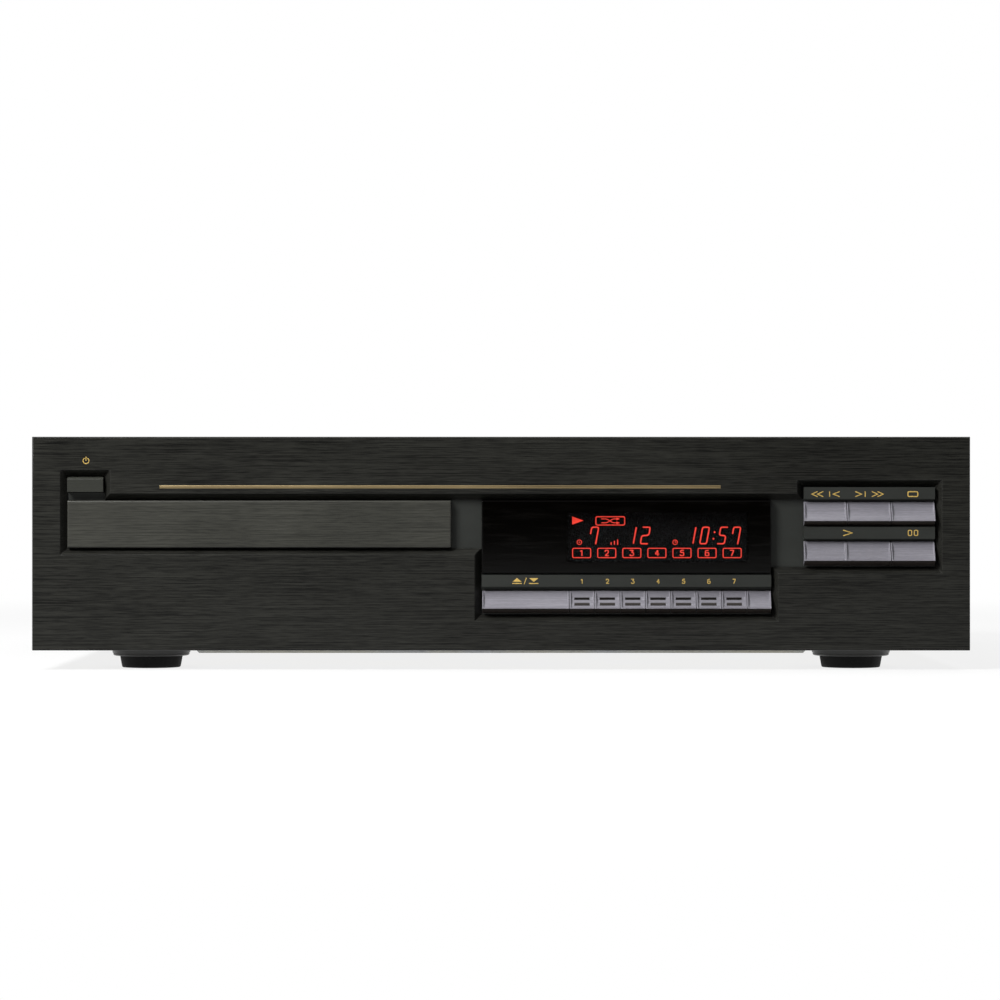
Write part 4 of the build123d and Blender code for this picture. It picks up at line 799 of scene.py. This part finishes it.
def turned(
    profile: Sequence[Sequence[float]], centre: Sequence[float], axis: Axis, around: int = 64, closed: bool = False
) -> Shell:
    """Turn a profile round an axis: a point is its radius times (cos a, sin a), at its height along the axis.

    Args:
        profile: Radii and heights, from the bottom to the top.
        centre: The axis's foot.
        axis: The direction of the axis.
        around: Points round the axis.
        closed: True if the profile is a loop, which leaves a hole along the axis.

    Returns:
        The closed surface.
    """
    rows = np.asarray(profile, float)
    angle = np.linspace(0, math.tau, around, endpoint=False)
    one = rows[:, :1] * np.cos(angle)
    two = rows[:, :1] * np.sin(angle)
    up = np.broadcast_to(rows[:, 1:], one.shape)
    return loft(np.stack(set_along(axis, up, one, two), axis=-1) + np.asarray(centre, float), closed)


def screw_head(centre: Sequence[float], axis: Axis, facing: float, radius: float, height: float, slot: float) -> Shell:
    """A pan head with a cross recess.

    Over a polar grid the height is h (1 - 0.35 (r/R)^4), less a recess where the nearer of |x| and |y| is
    under the slot's half width and r is under 0.6 R, each faded with a smooth step.

    Args:
        centre: Middle of the head's seat.
        axis: The screw's axis.
        facing: 1 or -1, the side of the seat that the head stands on.
        radius: The head's radius.
        height: The head's height.
        slot: Half width of the recess's arms.

    Returns:
        The closed surface.
    """
    share = np.concatenate([[0.02], np.linspace(0.08, 0.96, 16), [1.0, 1.0]])
    angle = np.linspace(0, math.tau, 96, endpoint=False)
    one = radius * share[:, None] * np.cos(angle)
    two = radius * share[:, None] * np.sin(angle)
    dome = height * (1 - 0.35 * share[:, None] ** 4)
    arm = np.clip((slot * 1.35 - np.minimum(abs(one), abs(two))) / (slot * 0.6), 0, 1)
    reach = np.clip((0.66 - share[:, None]) / 0.14, 0, 1)
    up = dome - 0.6 * height * arm * reach
    up[-1] = 0.0
    return loft(np.stack(set_along(axis, up * facing, one, two), axis=-1) + np.asarray(centre, float))


def made(name: str, shell: Shell, finish: Finish, body: str, smooth: float = 40.0) -> bpy.types.Object:
    """Make an object from a surface, dress it and set it on its body.

    Args:
        name: The piece's name.
        shell: Its surface, in millimetres.
        finish: Its finish.
        body: The CAD body that it rides on.
        smooth: Edges under this angle, in degrees, are shaded smooth.

    Returns:
        The new object.
    """
    mesh = bpy.data.meshes.new(name)
    mesh.from_pydata((shell.points * MM).tolist(), [], shell.faces)
    mesh.validate()
    mesh.polygons.foreach_set("use_smooth", np.ones(len(mesh.polygons), bool))
    mesh.set_sharp_from_angle(angle=math.radians(smooth))
    piece = bpy.data.objects.new(name, mesh)
    bpy.context.scene.collection.objects.link(piece)
    finish.dress(piece)
    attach(piece, body)
    return piece


def softened(node: str, finish: Finish, body: str, radius: float, segments: int = 2) -> bpy.types.Object:
    """Stand in for a CAD node with a merged copy whose edges are rounded.

    Args:
        node: The CAD node.
        finish: The copy's finish.
        body: The CAD body that it rides on.
        radius: Width of the rounded edges, in millimetres.
        segments: Faces across a rounded edge.

    Returns:
        The new object.
    """
    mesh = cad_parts[node].data.copy()
    work = bmesh.new()
    work.from_mesh(mesh)
    bmesh.ops.remove_doubles(work, verts=work.verts, dist=SAME_POINT)
    bmesh.ops.dissolve_limit(work, angle_limit=FLAT_ANGLE, verts=work.verts, edges=work.edges)
    work.to_mesh(mesh)
    work.free()
    mesh.name = node + "_eased"
    mesh.polygons.foreach_set("use_smooth", np.ones(len(mesh.polygons), bool))
    mesh.set_sharp_from_angle(angle=EASED_ANGLE)
    piece = bpy.data.objects.new(node + "_eased", mesh)
    bpy.context.scene.collection.objects.link(piece)
    bevel = piece.modifiers.new("eased edges", "BEVEL")
    bevel.width, bevel.segments, bevel.limit_method = radius * MM, segments, "ANGLE"
    bevel.angle_limit = EASED_ANGLE
    bevel.use_clamp_overlap = True
    flat = piece.modifiers.new("flat faces", "WEIGHTED_NORMAL")
    flat.keep_sharp, flat.weight = True, 100
    finish.dress(piece)
    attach(piece, body)
    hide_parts(node)
    return piece


def carried(finish: Finish, *nodes: str) -> list[str]:
    """Put a finish on CAD nodes whose shape is right already, and return their names."""
    for node in nodes:
        finish.dress(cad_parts[node])
    return list(nodes)


# ---------------------------------------------------------------- signs


@dataclass
class Signs:
    """Flat strokes and plates that are printed or lit on one face."""

    face: float
    proud: float = 0.05
    sunk: float = 0.06
    line: float = 0.45
    shells: Optional[list[Shell]] = None

    DIGITS: ClassVar[dict[str, list[tuple[float, float]]]] = {
        "0": [(0.0, 0.0), (0.62, 0.0), (0.62, 1.0), (0.0, 1.0)],
        "1": [(0.1, 0.8), (0.36, 1.0), (0.36, 0.0)],
        "2": [(0.02, 0.76), (0.08, 1.0), (0.6, 1.0), (0.6, 0.55), (0.0, 0.0), (0.62, 0.0)],
        "3": [(0.0, 1.0), (0.6, 1.0), (0.24, 0.58), (0.62, 0.56), (0.62, 0.0), (0.0, 0.0), (0.0, 0.16)],
        "4": [(0.46, 0.0), (0.46, 1.0), (0.0, 0.3), (0.64, 0.3)],
        "5": [(0.58, 1.0), (0.1, 1.0), (0.04, 0.56), (0.62, 0.62), (0.62, 0.0), (0.0, 0.0), (0.0, 0.14)],
        "6": [(0.5, 1.0), (0.0, 0.9), (0.0, 0.0), (0.62, 0.0), (0.62, 0.56), (0.02, 0.56)],
        "7": [(0.0, 1.0), (0.62, 1.0), (0.2, 0.0)],
    }
    SEGMENTS: ClassVar[dict[str, list[tuple[float, float]]]] = {
        "0": [(0.0, 0.0), (1.0, 0.0), (1.0, 1.0), (0.0, 1.0)],
        "1": [(0.5, 0.04), (0.5, 0.96)],
        "2": [(0.0, 1.0), (1.0, 1.0), (1.0, 0.52), (0.0, 0.48), (0.0, 0.0), (1.0, 0.0)],
        "5": [(1.0, 1.0), (0.0, 1.0), (0.0, 0.52), (1.0, 0.48), (1.0, 0.0), (0.0, 0.0)],
        "7": [(0.0, 0.62), (0.0, 1.0), (1.0, 1.0), (1.0, 0.0)],
    }

    def __post_init__(self) -> None:
        """Start with no strokes."""
        self.shells = []

    def draw(self, path: Path2, width: Optional[float] = None, closed: bool = False) -> None:
        """Add a stroke along a path."""
        thick = self.proud + self.sunk
        self.shells.append(stroke(np.asarray(path, float), width or self.line, self.face - self.proud, thick, closed))

    def fill(self, outline: Path2) -> None:
        """Add a filled shape."""
        self.shells.append(plate(np.asarray(outline, float), self.face - self.proud, self.proud + self.sunk))

    def number(self, digit: str, centre: Sequence[float], height: float, width: Optional[float] = None) -> None:
        """Add a plain digit.

        Args:
            digit: The digit.
            centre: Its middle along X and Z.
            height: Its height.
            width: Width of its stroke.
        """
        corners = np.asarray(self.DIGITS[digit], float)
        foot = np.array([centre[0] - 0.31 * height, centre[1] - height / 2])
        closed = digit == "0"
        self.draw(rounded(corners, 0.2, closed) * height + foot, width, closed)

    def segments(self, digit: str, x: Sequence[float], z: Sequence[float], lean: float, width: float) -> None:
        """Add a leaning display digit between two places along X and Z.

        Args:
            digit: The digit.
            x: Its span along X at its foot, without the lean.
            z: Its span along Z.
            lean: How far its top stands to the right of its foot.
            width: Width of its stroke.
        """
        corners = np.asarray(self.SEGMENTS[digit], float)
        size = np.array([x[1] - x[0], z[1] - z[0]])
        closed = digit == "0"
        path = rounded(corners * size, 0.9, closed)
        path[:, 0] += lean * path[:, 1] / size[1]
        self.draw(path + np.array([x[0], z[0]]), width, closed)

    def chevron(self, x: Sequence[float], z: Sequence[float], width: Optional[float] = None) -> None:
        """Add an open chevron that points from the first place along X to the second."""
        middle = (z[0] + z[1]) / 2
        self.draw(np.array([(x[0], z[0]), (x[1], middle), (x[0], z[1])]), width)

    def triangle(self, x: Sequence[float], z: Sequence[float]) -> None:
        """Add a filled triangle that points from the first place along X to the second."""
        corners = [(x[0], z[0]), (x[1], (z[0] + z[1]) / 2), (x[0], z[1])]
        self.fill(rounded(corners, 0.12, closed=True, steps=3))

    def piece(self, name: str, finish: Finish, body: str) -> str:
        """Make everything that was drawn into one piece, and return its name."""
        made(name, joined(self.shells), finish, body, 30.0)
        return name


# ---------------------------------------------------------------- sub-assemblies


@dataclass
class FrontPanel:
    """The brushed panel with its inlaid line and the mark over the power button."""

    edge: float = 0.22
    mark_centre: tuple[float, float] = (-190.2, 96.0)
    mark_radius: float = 1.35

    def build(self) -> list[str]:
        """Dress the panel and the line, and print the mark."""
        softened("front_panel", BLACK_PANEL, "case", self.edge)
        return ["front_panel", self.gold_line(), self.power_mark()]

    def gold_line(self) -> str:
        """Carry a half round profile along X: its front is an arc of a circle over the inlay's height."""
        low, high = (Vector(corner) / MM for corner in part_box("accent_strip"))
        middle, half = (low.z + high.z) / 2, (high.z - low.z) / 2
        swell = FACE_Y - low.y - 0.01
        radius = (half**2 + swell**2) / (2 * swell)
        angle = np.linspace(-1, 1, 13) * math.asin(half / radius)
        front = np.stack([low.y + radius - radius * np.cos(angle), middle + radius * np.sin(angle)], axis=1)
        back = np.array([(high.y, high.z), (high.y, low.z)])
        profile = np.vstack([front, back])
        ends = np.linspace(low.x, high.x, 5)
        rings = np.stack([np.column_stack([np.full(len(profile), x), profile]) for x in ends])
        piece = made("gold_line", loft(rings), GOLD_LINE, "case")
        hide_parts("accent_strip")
        return piece.name

    def power_mark(self) -> str:
        """Print a broken ring with a bar through its gap, the usual sign for power."""
        signs = Signs(FACE_Y, line=0.34)
        x, z = self.mark_centre
        signs.draw(circle(self.mark_centre, self.mark_radius, 122, 418))
        signs.draw(np.array([(x, z + 0.15), (x, z + self.mark_radius + 0.35)]))
        return signs.piece("power_mark", GOLD_INK, "case")


@dataclass
class DrawerFront:
    """The drawer with its brushed front and the carrier in it."""

    edge: float = 0.3

    def build(self) -> list[str]:
        """Dress the drawer's pieces."""
        softened("tray_front", TRAY_METAL, "drawer", self.edge)
        return ["tray_front"] + carried(DRAWER, "drawer") + carried(CARRIER, "loaded_carrier")


@dataclass
class Display:
    """The smoked window, the tube behind it and what the tube shows."""

    tube_face: float = -162.7
    digit_z: tuple[float, float] = (57.9, 65.5)
    lean: float = 1.4
    digit_line: float = 0.62
    box_z: tuple[float, float] = (51.5, 55.8)
    box_start: float = 32.9
    box_pitch: float = 11.53
    box_width: float = 8.3
    box_line: float = 0.42
    colon_x: float = 97.2
    colon_z: tuple[float, float] = (60.2, 63.2)
    arrows_z: tuple[float, float] = (67.5, 69.3)
    small_z: float = 58.6
    disc_sign_x: float = 36.0
    track_sign_x: float = 50.6
    time_sign_x: float = 80.0
    ring: float = 1.05

    PLACES: ClassVar[tuple[tuple[str, float, float], ...]] = (
        ("7", 40.3, 43.5),
        ("1", 59.6, 62.0),
        ("2", 64.0, 67.2),
        ("1", 87.0, 89.4),
        ("0", 91.3, 94.4),
        ("5", 99.6, 102.6),
        ("7", 105.6, 108.8),
    )

    def build(self) -> list[str]:
        """Dress the window and the tube, and light the segments."""
        softened("display_window", WINDOW, "case", 0.15)
        return ["display_window"] + carried(TUBE, "display_tube") + [self.digits(), self.boxes(), self.marks()]

    def digits(self) -> str:
        """Light the disc, track and time digits."""
        signs = Signs(self.tube_face, line=self.digit_line)
        for digit, left, right in self.PLACES:
            signs.segments(digit, (left, right), self.digit_z, self.lean, self.digit_line)
        for height in self.colon_z:
            across = self.colon_x + self.lean * (height - self.digit_z[0]) / (self.digit_z[1] - self.digit_z[0])
            signs.fill(circle((across, height), 0.42, steps=16))
        return signs.piece("display_digits", SEGMENT, "case")

    def boxes(self) -> str:
        """Light seven numbered boxes, one for each disc."""
        signs = Signs(self.tube_face, line=self.box_line)
        middle = (self.box_z[0] + self.box_z[1]) / 2
        for place in range(7):
            left = self.box_start + place * self.box_pitch
            signs.draw(loop((left, left + self.box_width), self.box_z, 0.7), closed=True)
            signs.number(str(place + 1), (left + self.box_width / 2, middle), 2.5, 0.5)
        return signs.piece("display_boxes", SEGMENT, "case")

    def marks(self) -> str:
        """Light the play triangle, the crossed arrows in their box, and small signs for disc, track and time."""
        signs = Signs(self.tube_face, line=0.4)
        signs.triangle((32.7, 37.9), (66.7, 70.4))
        signs.draw(loop((43.6, 56.8), (66.5, 70.3), 0.7), 0.45, closed=True)
        for low, high in (self.arrows_z, self.arrows_z[::-1]):
            signs.draw(rounded([(46.2, low), (48.6, low), (51.4, high), (53.6, high)], 0.8), 0.38)
            signs.triangle((53.0, 54.6), (high - 0.65, high + 0.65))
        z, disc, clock = self.small_z, self.disc_sign_x, self.time_sign_x
        signs.draw(circle((disc, z), self.ring), 0.32, closed=True)
        signs.fill(circle((disc, z), 0.32, steps=12))
        for step in range(3):
            left = self.track_sign_x + step * 1.5
            signs.draw(np.array([(left, z - 1.0), (left, z - 0.2 + 0.6 * step)]), 0.5)
        signs.draw(circle((clock, z), self.ring), 0.32, closed=True)
        signs.draw(np.array([(clock, z + 0.7), (clock, z), (clock + 0.5, z)]), 0.26)
        return signs.piece("display_marks", SEGMENT, "case")


@dataclass
class KeyRow:
    """The load key, seven disc keys and their blank end, with the signs over them."""

    edge: float = 0.22
    first_key: float = 37.1
    pitch: float = 11.63
    strip_face: float = -167.6
    sign_z: float = 40.75

    def build(self) -> list[str]:
        """Ease and dress the keys and print their signs."""
        names = ["load_key"] + [f"disc_key_{place}" for place in range(1, 8)]
        for name in names:
            softened(name, KEY_SATIN if name == "load_key" else KEY_SLOTTED, name, self.edge)
        softened("key_row_cap", KEY_SATIN, "case", self.edge)
        return names + ["key_row_cap", self.numbers(), self.load_signs()]

    def numbers(self) -> str:
        """Print the numbers 1 to 7 over the disc keys."""
        signs = Signs(self.strip_face, proud=0.04, line=0.34)
        for place in range(7):
            signs.number(str(place + 1), (self.first_key + place * self.pitch, self.sign_z), 1.9)
        return signs.piece("disc_numbers", GOLD_INK, "case")

    def load_signs(self) -> str:
        """Print an eject sign, a slanted bar and its counterpart that points down."""
        signs = Signs(self.strip_face, proud=0.04, line=0.42)
        z = self.sign_z
        signs.fill(rounded([(5.2, z - 0.2), (9.4, z - 0.2), (7.3, z + 1.5)], 0.12, closed=True, steps=3))
        signs.draw(np.array([(5.3, z - 1.0), (9.3, z - 1.0)]))
        signs.draw(np.array([(10.6, z - 1.2), (11.6, z + 1.5)]), 0.34)
        signs.fill(rounded([(12.9, z + 1.4), (17.1, z + 1.4), (15.0, z - 0.3)], 0.12, closed=True, steps=3))
        signs.draw(np.array([(13.0, z - 1.0), (17.0, z - 1.0)]))
        return signs.piece("load_signs", GOLD_INK, "case")


@dataclass
class Keypad:
    """The five keys on the right, with the signs over them."""

    edge: float = 0.22
    strip_face: float = -167.6
    upper_z: tuple[float, float] = (79.6, 81.8)
    lower_z: tuple[float, float] = (61.7, 64.1)
    skip_bars: tuple[float, float] = (150.6, 166.9)
    stop_x: tuple[float, float] = (186.5, 191.0)
    play_x: tuple[float, float] = (157.0, 160.9)
    pause_x: tuple[float, float] = (186.6, 189.4)
    pause_width: float = 1.6

    CHEVRONS: ClassVar[tuple[tuple[float, float], ...]] = (
        (144.9, 142.4),
        (147.5, 145.0),
        (155.0, 152.2),
        (162.5, 165.3),
        (170.1, 172.6),
        (172.7, 175.2),
    )

    def build(self) -> list[str]:
        """Ease and dress the keys and print their signs."""
        names = ["skip_back_key", "skip_forward_key", "stop_key", "play_key", "pause_key"]
        for name in names:
            softened(name, KEY_SATIN, name, self.edge)
        return names + [self.upper_signs(), self.lower_signs()]

    def upper_signs(self) -> str:
        """Print the search and skip chevrons and the stop outline."""
        signs = Signs(self.strip_face, proud=0.04, line=0.42)
        z = self.upper_z
        for span in self.CHEVRONS:
            signs.chevron(span, z)
        for across in self.skip_bars:
            signs.draw(np.array([(across, z[0]), (across, z[1])]))
        signs.draw(loop(self.stop_x, z, 0.6), 0.5, closed=True)
        return signs.piece("upper_signs", GOLD_INK, "case")

    def lower_signs(self) -> str:
        """Print the play chevron and the two outlines for pause."""
        signs = Signs(self.strip_face, proud=0.04, line=0.42)
        signs.chevron(self.play_x, self.lower_z, 0.5)
        for left in self.pause_x:
            signs.draw(loop((left, left + self.pause_width), self.lower_z, 0.6), 0.42, closed=True)
        return signs.piece("lower_signs", GOLD_INK, "case")


@dataclass
class ControlBezel:
    """The dark moulding behind the panel, with the power button and what is behind the keys."""

    def build(self) -> list[str]:
        """Dress the moulding, the button, the boards and the switches."""
        softened("power_button", BUTTON_SATIN, "power_button", 0.25)
        names = ["power_button"] + carried(DARK_PLASTIC, "control_bezel") + carried(BOARD, "front_boards")
        return names + carried(SWITCH, "key_switches", "power_switch")


@dataclass
class Case:
    """The pan, the cover, the rear panel, the feet and the screws."""

    feet: tuple[tuple[float, float], ...] = ((-163.5, -135.0), (163.5, -135.0), (-163.5, 118.0), (163.5, 118.0))
    foot_low: float = 5.5
    foot_high: float = 9.0
    rear_screws: tuple[float, ...] = (-190.0, -95.0, 0.0, 95.0, 190.0)
    rear_seat: tuple[float, float] = (158.0, 97.0)
    side_screws: tuple[float, ...] = (-108.0, 98.0)
    side_seat: tuple[float, float] = (214.0, 27.0)

    PAD_ROWS: ClassVar[tuple[tuple[float, float], ...]] = (
        ((5.0, 5.48), (5.0, 0.3), (5.2, 0.05), (6.6, 0.0), (6.9, 0.35), (7.3, 0.35), (7.6, 0.0), (9.2, 0.0))
        + ((9.5, 0.35), (9.9, 0.35), (10.2, 0.0), (11.8, 0.0), (12.1, 0.35), (12.5, 0.35), (12.8, 0.0))
        + ((13.3, 0.02), (13.62, 0.3), (13.9, 1.6), (14.5, 4.9), (14.58, 5.48))
    )

    def build(self) -> list[str]:
        """Dress the sheets, and turn the feet, their pads and the screws."""
        softened("top_cover", COVER, "case", 0.2)
        names = ["top_cover"] + carried(COVER, "rear_panel") + carried(PAN, "chassis_pan")
        return names + [self.foot_rings(), self.pads(), self.screws()]

    def foot_rings(self) -> str:
        """Turn four ribbed rings that the pads sit in."""
        low, high = self.foot_low, self.foot_high
        rows = [(4.0, low), (17.1, low), (17.5, low + 0.15), (17.72, low + 0.5), (17.8, low + 0.75)]
        rows += [(17.6, low + 0.85), (17.65, low + 1.1), (18.05, low + 1.25), (18.2, low + 2.2), (18.42, low + 3.1)]
        rows += [(18.5, high - 0.12), (18.3, high), (4.0, high)]
        shells = [turned(rows, (x, y, 0.0), Axis.Z, around=96) for x, y in self.feet]
        piece = made("foot_rings", joined(shells), FOOT, "case")
        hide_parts("feet")
        return piece.name

    def pads(self) -> str:
        """Turn four rubber pads with a grooved sole and a hole for the screw."""
        shells = [turned(self.PAD_ROWS, (x, y, 0.0), Axis.Z, around=72, closed=True) for x, y in self.feet]
        piece = made("foot_soles", joined(shells), PAD, "case", 50.0)
        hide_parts("foot_pads")
        return piece.name

    def screws(self) -> str:
        """Set the heads of the rear, side and foot screws."""
        shells = [screw_head((x, *self.rear_seat), Axis.Y, 1.0, 3.5, 2.0, 0.45) for x in self.rear_screws]
        across, up = self.side_seat
        for side in (-1.0, 1.0):
            shells += [screw_head((side * across, y, up), Axis.X, side, 4.0, 1.0, 0.5) for y in self.side_screws]
        shells += [screw_head((x, y, self.foot_low), Axis.Z, -1.0, 4.0, 2.0, 0.5) for x, y in self.feet]
        piece = made("screw_heads", joined(shells), SCREW, "case")
        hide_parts("case_screws")
        return piece.name


@dataclass
class Connections:
    """The phono jacks and the mains inlet at the back."""

    jacks: tuple[float, ...] = (29.85, 43.85, 79.85)
    jack_z: float = 42.0
    panel_y: float = 158.0

    def build(self) -> list[str]:
        """Dress the jacks and the inlet, and set a coloured washer at each jack's root."""
        names = carried(JACK_SHELL, "output_jacks") + carried(JACK_BLOCK, "jack_block", "mains_inlet")
        return names + carried(BRASS, "inlet_pins") + [self.rings()]

    def rings(self) -> str:
        """Turn a coloured washer round the root of each jack."""
        rows = [(4.3, 0.02), (7.6, 0.02), (7.9, 0.3), (7.9, 0.75), (7.6, 1.05), (4.3, 1.05)]
        shells = [turned(rows, (x, self.panel_y, self.jack_z), Axis.Y, closed=True) for x in self.jacks]
        made("jack_rings", joined(shells), JACK_RING, "case")
        return "jack_rings"


@dataclass
class PowerSupply:
    """The main board with its transformer and capacitors."""

    def build(self) -> list[str]:
        """Dress the board, the transformer and the capacitors."""
        names = carried(BOARD, "main_board") + carried(CORE, "transformer_core") + carried(COIL, "transformer_coil")
        return names + carried(CAPACITOR, "capacitors")


@dataclass
class Loader:
    """The base of the mechanism and the train that drives the drawer."""

    def build(self) -> list[str]:
        """Dress the base, the motor, the belt and the gears."""
        names = carried(BASE, "mechanism_base") + carried(MOTOR, "loading_motor") + carried(BELT, "drive_belt")
        return names + carried(GEAR, "drive_gear", "pulley_gear", "motor_pulley")


@dataclass
class Pickup:
    """The part that rises to the disc, with its sled, and the clamp over it."""

    def build(self) -> list[str]:
        """Dress the frame, the rods, the motor, the sled, the lens and the clamp."""
        names = carried(PRESSED, "pickup_frame", "clamp_bridge") + carried(ROD, "sled_rods")
        names += carried(MOTOR, "spindle_motor") + carried(DRAWER, "pickup_sled", "turntable")
        return names + carried(LENS, "pickup_lens") + carried(GEAR, "clamp_disc")


@dataclass
class Stocker:
    """The cage of carriers behind the drawer and what lifts it."""

    def build(self) -> list[str]:
        """Dress the cage, the carriers, the posts and the lift."""
        names = carried(BASE, "stocker_cage") + carried(CARRIER, "stocked_carriers") + carried(ROD, "guide_posts")
        return names + carried(MOTOR, "lift_motor") + carried(GEAR, "lift_cam", "lift_gear")


# ---------------------------------------------------------------- studio


@dataclass
class Studio:
    """The floor, the lamps, the surroundings and the camera."""

    distance: float = 1.6
    eye: tuple[float, float] = (-0.0005, 0.078)
    lens: float = 125.7
    floor_half: float = 9.0
    floor_glow: float = 0.8
    sky_light: float = 0.14
    overhead_power: float = 7.0
    front_power: float = 22.0
    back_power: float = 8.0
    card: tuple[float, float, float] = (3.0, 2.2, 3.2)

    def build(self) -> None:
        """Set up the whole studio."""
        self.floor()
        self.surroundings()
        self.flag()
        self.lamp("overhead", (0.0, -0.02, 1.2), (0.0, -0.1, 0.0), (1.8, 0.8), self.overhead_power)
        self.lamp("front_left", (-0.7, -1.0, 0.9), (-0.1, -0.17, 0.05), (0.5, 0.5), self.front_power)
        self.lamp("back_fill", (0.8, 1.6, 2.0), (0.0, 0.1, 0.05), (1.2, 1.0), self.back_power)
        self.camera()

    @staticmethod
    def grid(name: str, points: np.ndarray) -> bpy.types.Mesh:
        """A mesh of a square grid of points in metres, where each four neighbours make one face."""
        steps = len(points)
        here = np.arange(steps * steps).reshape(steps, steps)
        quads = np.stack([here[:-1, :-1], here[1:, :-1], here[1:, 1:], here[:-1, 1:]], axis=-1).reshape(-1, 4)
        mesh = bpy.data.meshes.new(name)
        mesh.from_pydata(points.reshape(-1, 3).tolist(), [], quads.tolist())
        return mesh

    def flag(self) -> None:
        """Stand a black card in front, out of the camera's sight, so that the panel has something dark to mirror."""
        wide, tall, away = self.card
        x, z = np.meshgrid(np.linspace(-wide, wide, 5), np.linspace(0.0, tall, 5), indexing="ij")
        mesh = self.grid("studio_flag", np.stack([x, np.full_like(x, -away), z], axis=-1))
        sheet = Sheet(bpy.data.materials.new("studio_flag_felt"))
        felt = sheet.node("BsdfDiffuse", None, {"Color": (0.01, 0.01, 0.01, 1.0)})
        sheet.node("OutputMaterial", None, {"Surface": felt.outputs[0]})
        mesh.materials.append(sheet.owner)
        flag = bpy.data.objects.new("studio_flag", mesh)
        bpy.context.scene.collection.objects.link(flag)
        flag.visible_camera = False

    def floor(self) -> None:
        """Lay a pale floor that shows white to the camera and still takes the object's shadow."""
        steps = np.linspace(-self.floor_half, self.floor_half, 9)
        x, y = np.meshgrid(steps, steps, indexing="ij")
        mesh = self.grid("studio_floor", np.stack([x, y, np.full_like(x, FLOOR_Z)], axis=-1))
        floor = bpy.data.objects.new("studio_floor", mesh)
        bpy.context.scene.collection.objects.link(floor)
        mesh.materials.append(self.floor_paint())

    def floor_paint(self) -> bpy.types.Material:
        """Mix pale paint with a white glow for the rays that see the background."""
        sheet = Sheet(bpy.data.materials.new("studio_floor_paint"))
        seen = self.seen(sheet)
        colour = sheet.mix(seen, (0.2, 0.2, 0.2, 1.0), (0.95, 0.95, 0.95, 1.0))
        paint = sheet.node("BsdfDiffuse", None, {"Color": colour})
        glow = sheet.node("Emission", None, {"Color": (1.0, 1.0, 1.0, 1.0), "Strength": 1.0})
        away = sheet.node("VectorMath", {"operation": "LENGTH"}, {0: sheet.place}).outputs["Value"]
        seen = seen * Number(sheet, away).ramp(0.45, 1.1, self.floor_glow, 1.0)
        mixed = sheet.node("MixShader", None, {0: seen, 1: paint.outputs[0], 2: glow.outputs[0]})
        sheet.node("OutputMaterial", None, {"Surface": mixed.outputs[0]})
        return sheet.owner

    @staticmethod
    def seen(sheet: Sheet) -> Number:
        """1 for camera, glossy and transmission rays, which see the background as it is."""
        rays = sheet.node("LightPath").outputs
        kinds = [Number(sheet, rays[name]) for name in ("Is Camera Ray", "Is Glossy Ray", "Is Transmission Ray")]
        return kinds[0].most(kinds[1]).most(kinds[2])

    def surroundings(self) -> None:
        """Make the world white to the rays that see it and a soft grey as a light."""
        world = bpy.data.worlds.new("studio")
        bpy.context.scene.world = world
        sheet = Sheet(world)
        strength = self.seen(sheet) * (1.0 - self.sky_light) + self.sky_light
        sky = sheet.node("Background", None, {"Color": (1.0, 1.0, 1.0, 1.0), "Strength": strength})
        sheet.node("OutputWorld", None, {"Surface": sky.outputs[0]})

    @staticmethod
    def lamp(name: str, place: Sequence[float], target: Sequence[float], size: Sequence[float], power: float) -> None:
        """Hang a soft box.

        Args:
            name: The lamp's name.
            place: Where it hangs, in metres.
            target: Where it points, in metres.
            size: Its width and height, in metres.
            power: Its power, in watts.
        """
        light = bpy.data.lights.new(name, "AREA")
        light.shape, light.energy = "RECTANGLE", power
        light.size, light.size_y = size
        box = bpy.data.objects.new(name, light)
        bpy.context.scene.collection.objects.link(box)
        box.location = place
        box.rotation_euler = (Vector(target) - Vector(place)).to_track_quat("-Z", "Y").to_euler()
        box.visible_camera = False

    def camera(self) -> None:
        """Stand the camera level, straight in front of the panel."""
        data = bpy.data.cameras.new("camera")
        data.lens, data.sensor_width = self.lens, 36.0
        data.clip_start, data.clip_end = 0.05, 60.0
        camera = bpy.data.objects.new("camera", data)
        bpy.context.scene.collection.objects.link(camera)
        camera.location = (self.eye[0], FACE_Y * MM - self.distance, self.eye[1])
        camera.rotation_euler = (math.radians(90), 0.0, 0.0)
        bpy.context.scene.camera = camera


def main() -> None:
    """Build the studio, then each sub-assembly in order."""
    logging.basicConfig(level=logging.INFO, format="%(message)s")
    bpy.context.scene.view_settings.view_transform = "Standard"
    Studio().build()
    units = [FrontPanel(), ControlBezel(), DrawerFront(), Display(), KeyRow(), Keypad()]
    units += [Case(), Connections(), PowerSupply(), Loader(), Pickup(), Stocker()]
    for unit in units:
        for name in unit.build():
            LOG.info("%s: %s", type(unit).__name__, name)


if __name__ == "__main__":
    main()
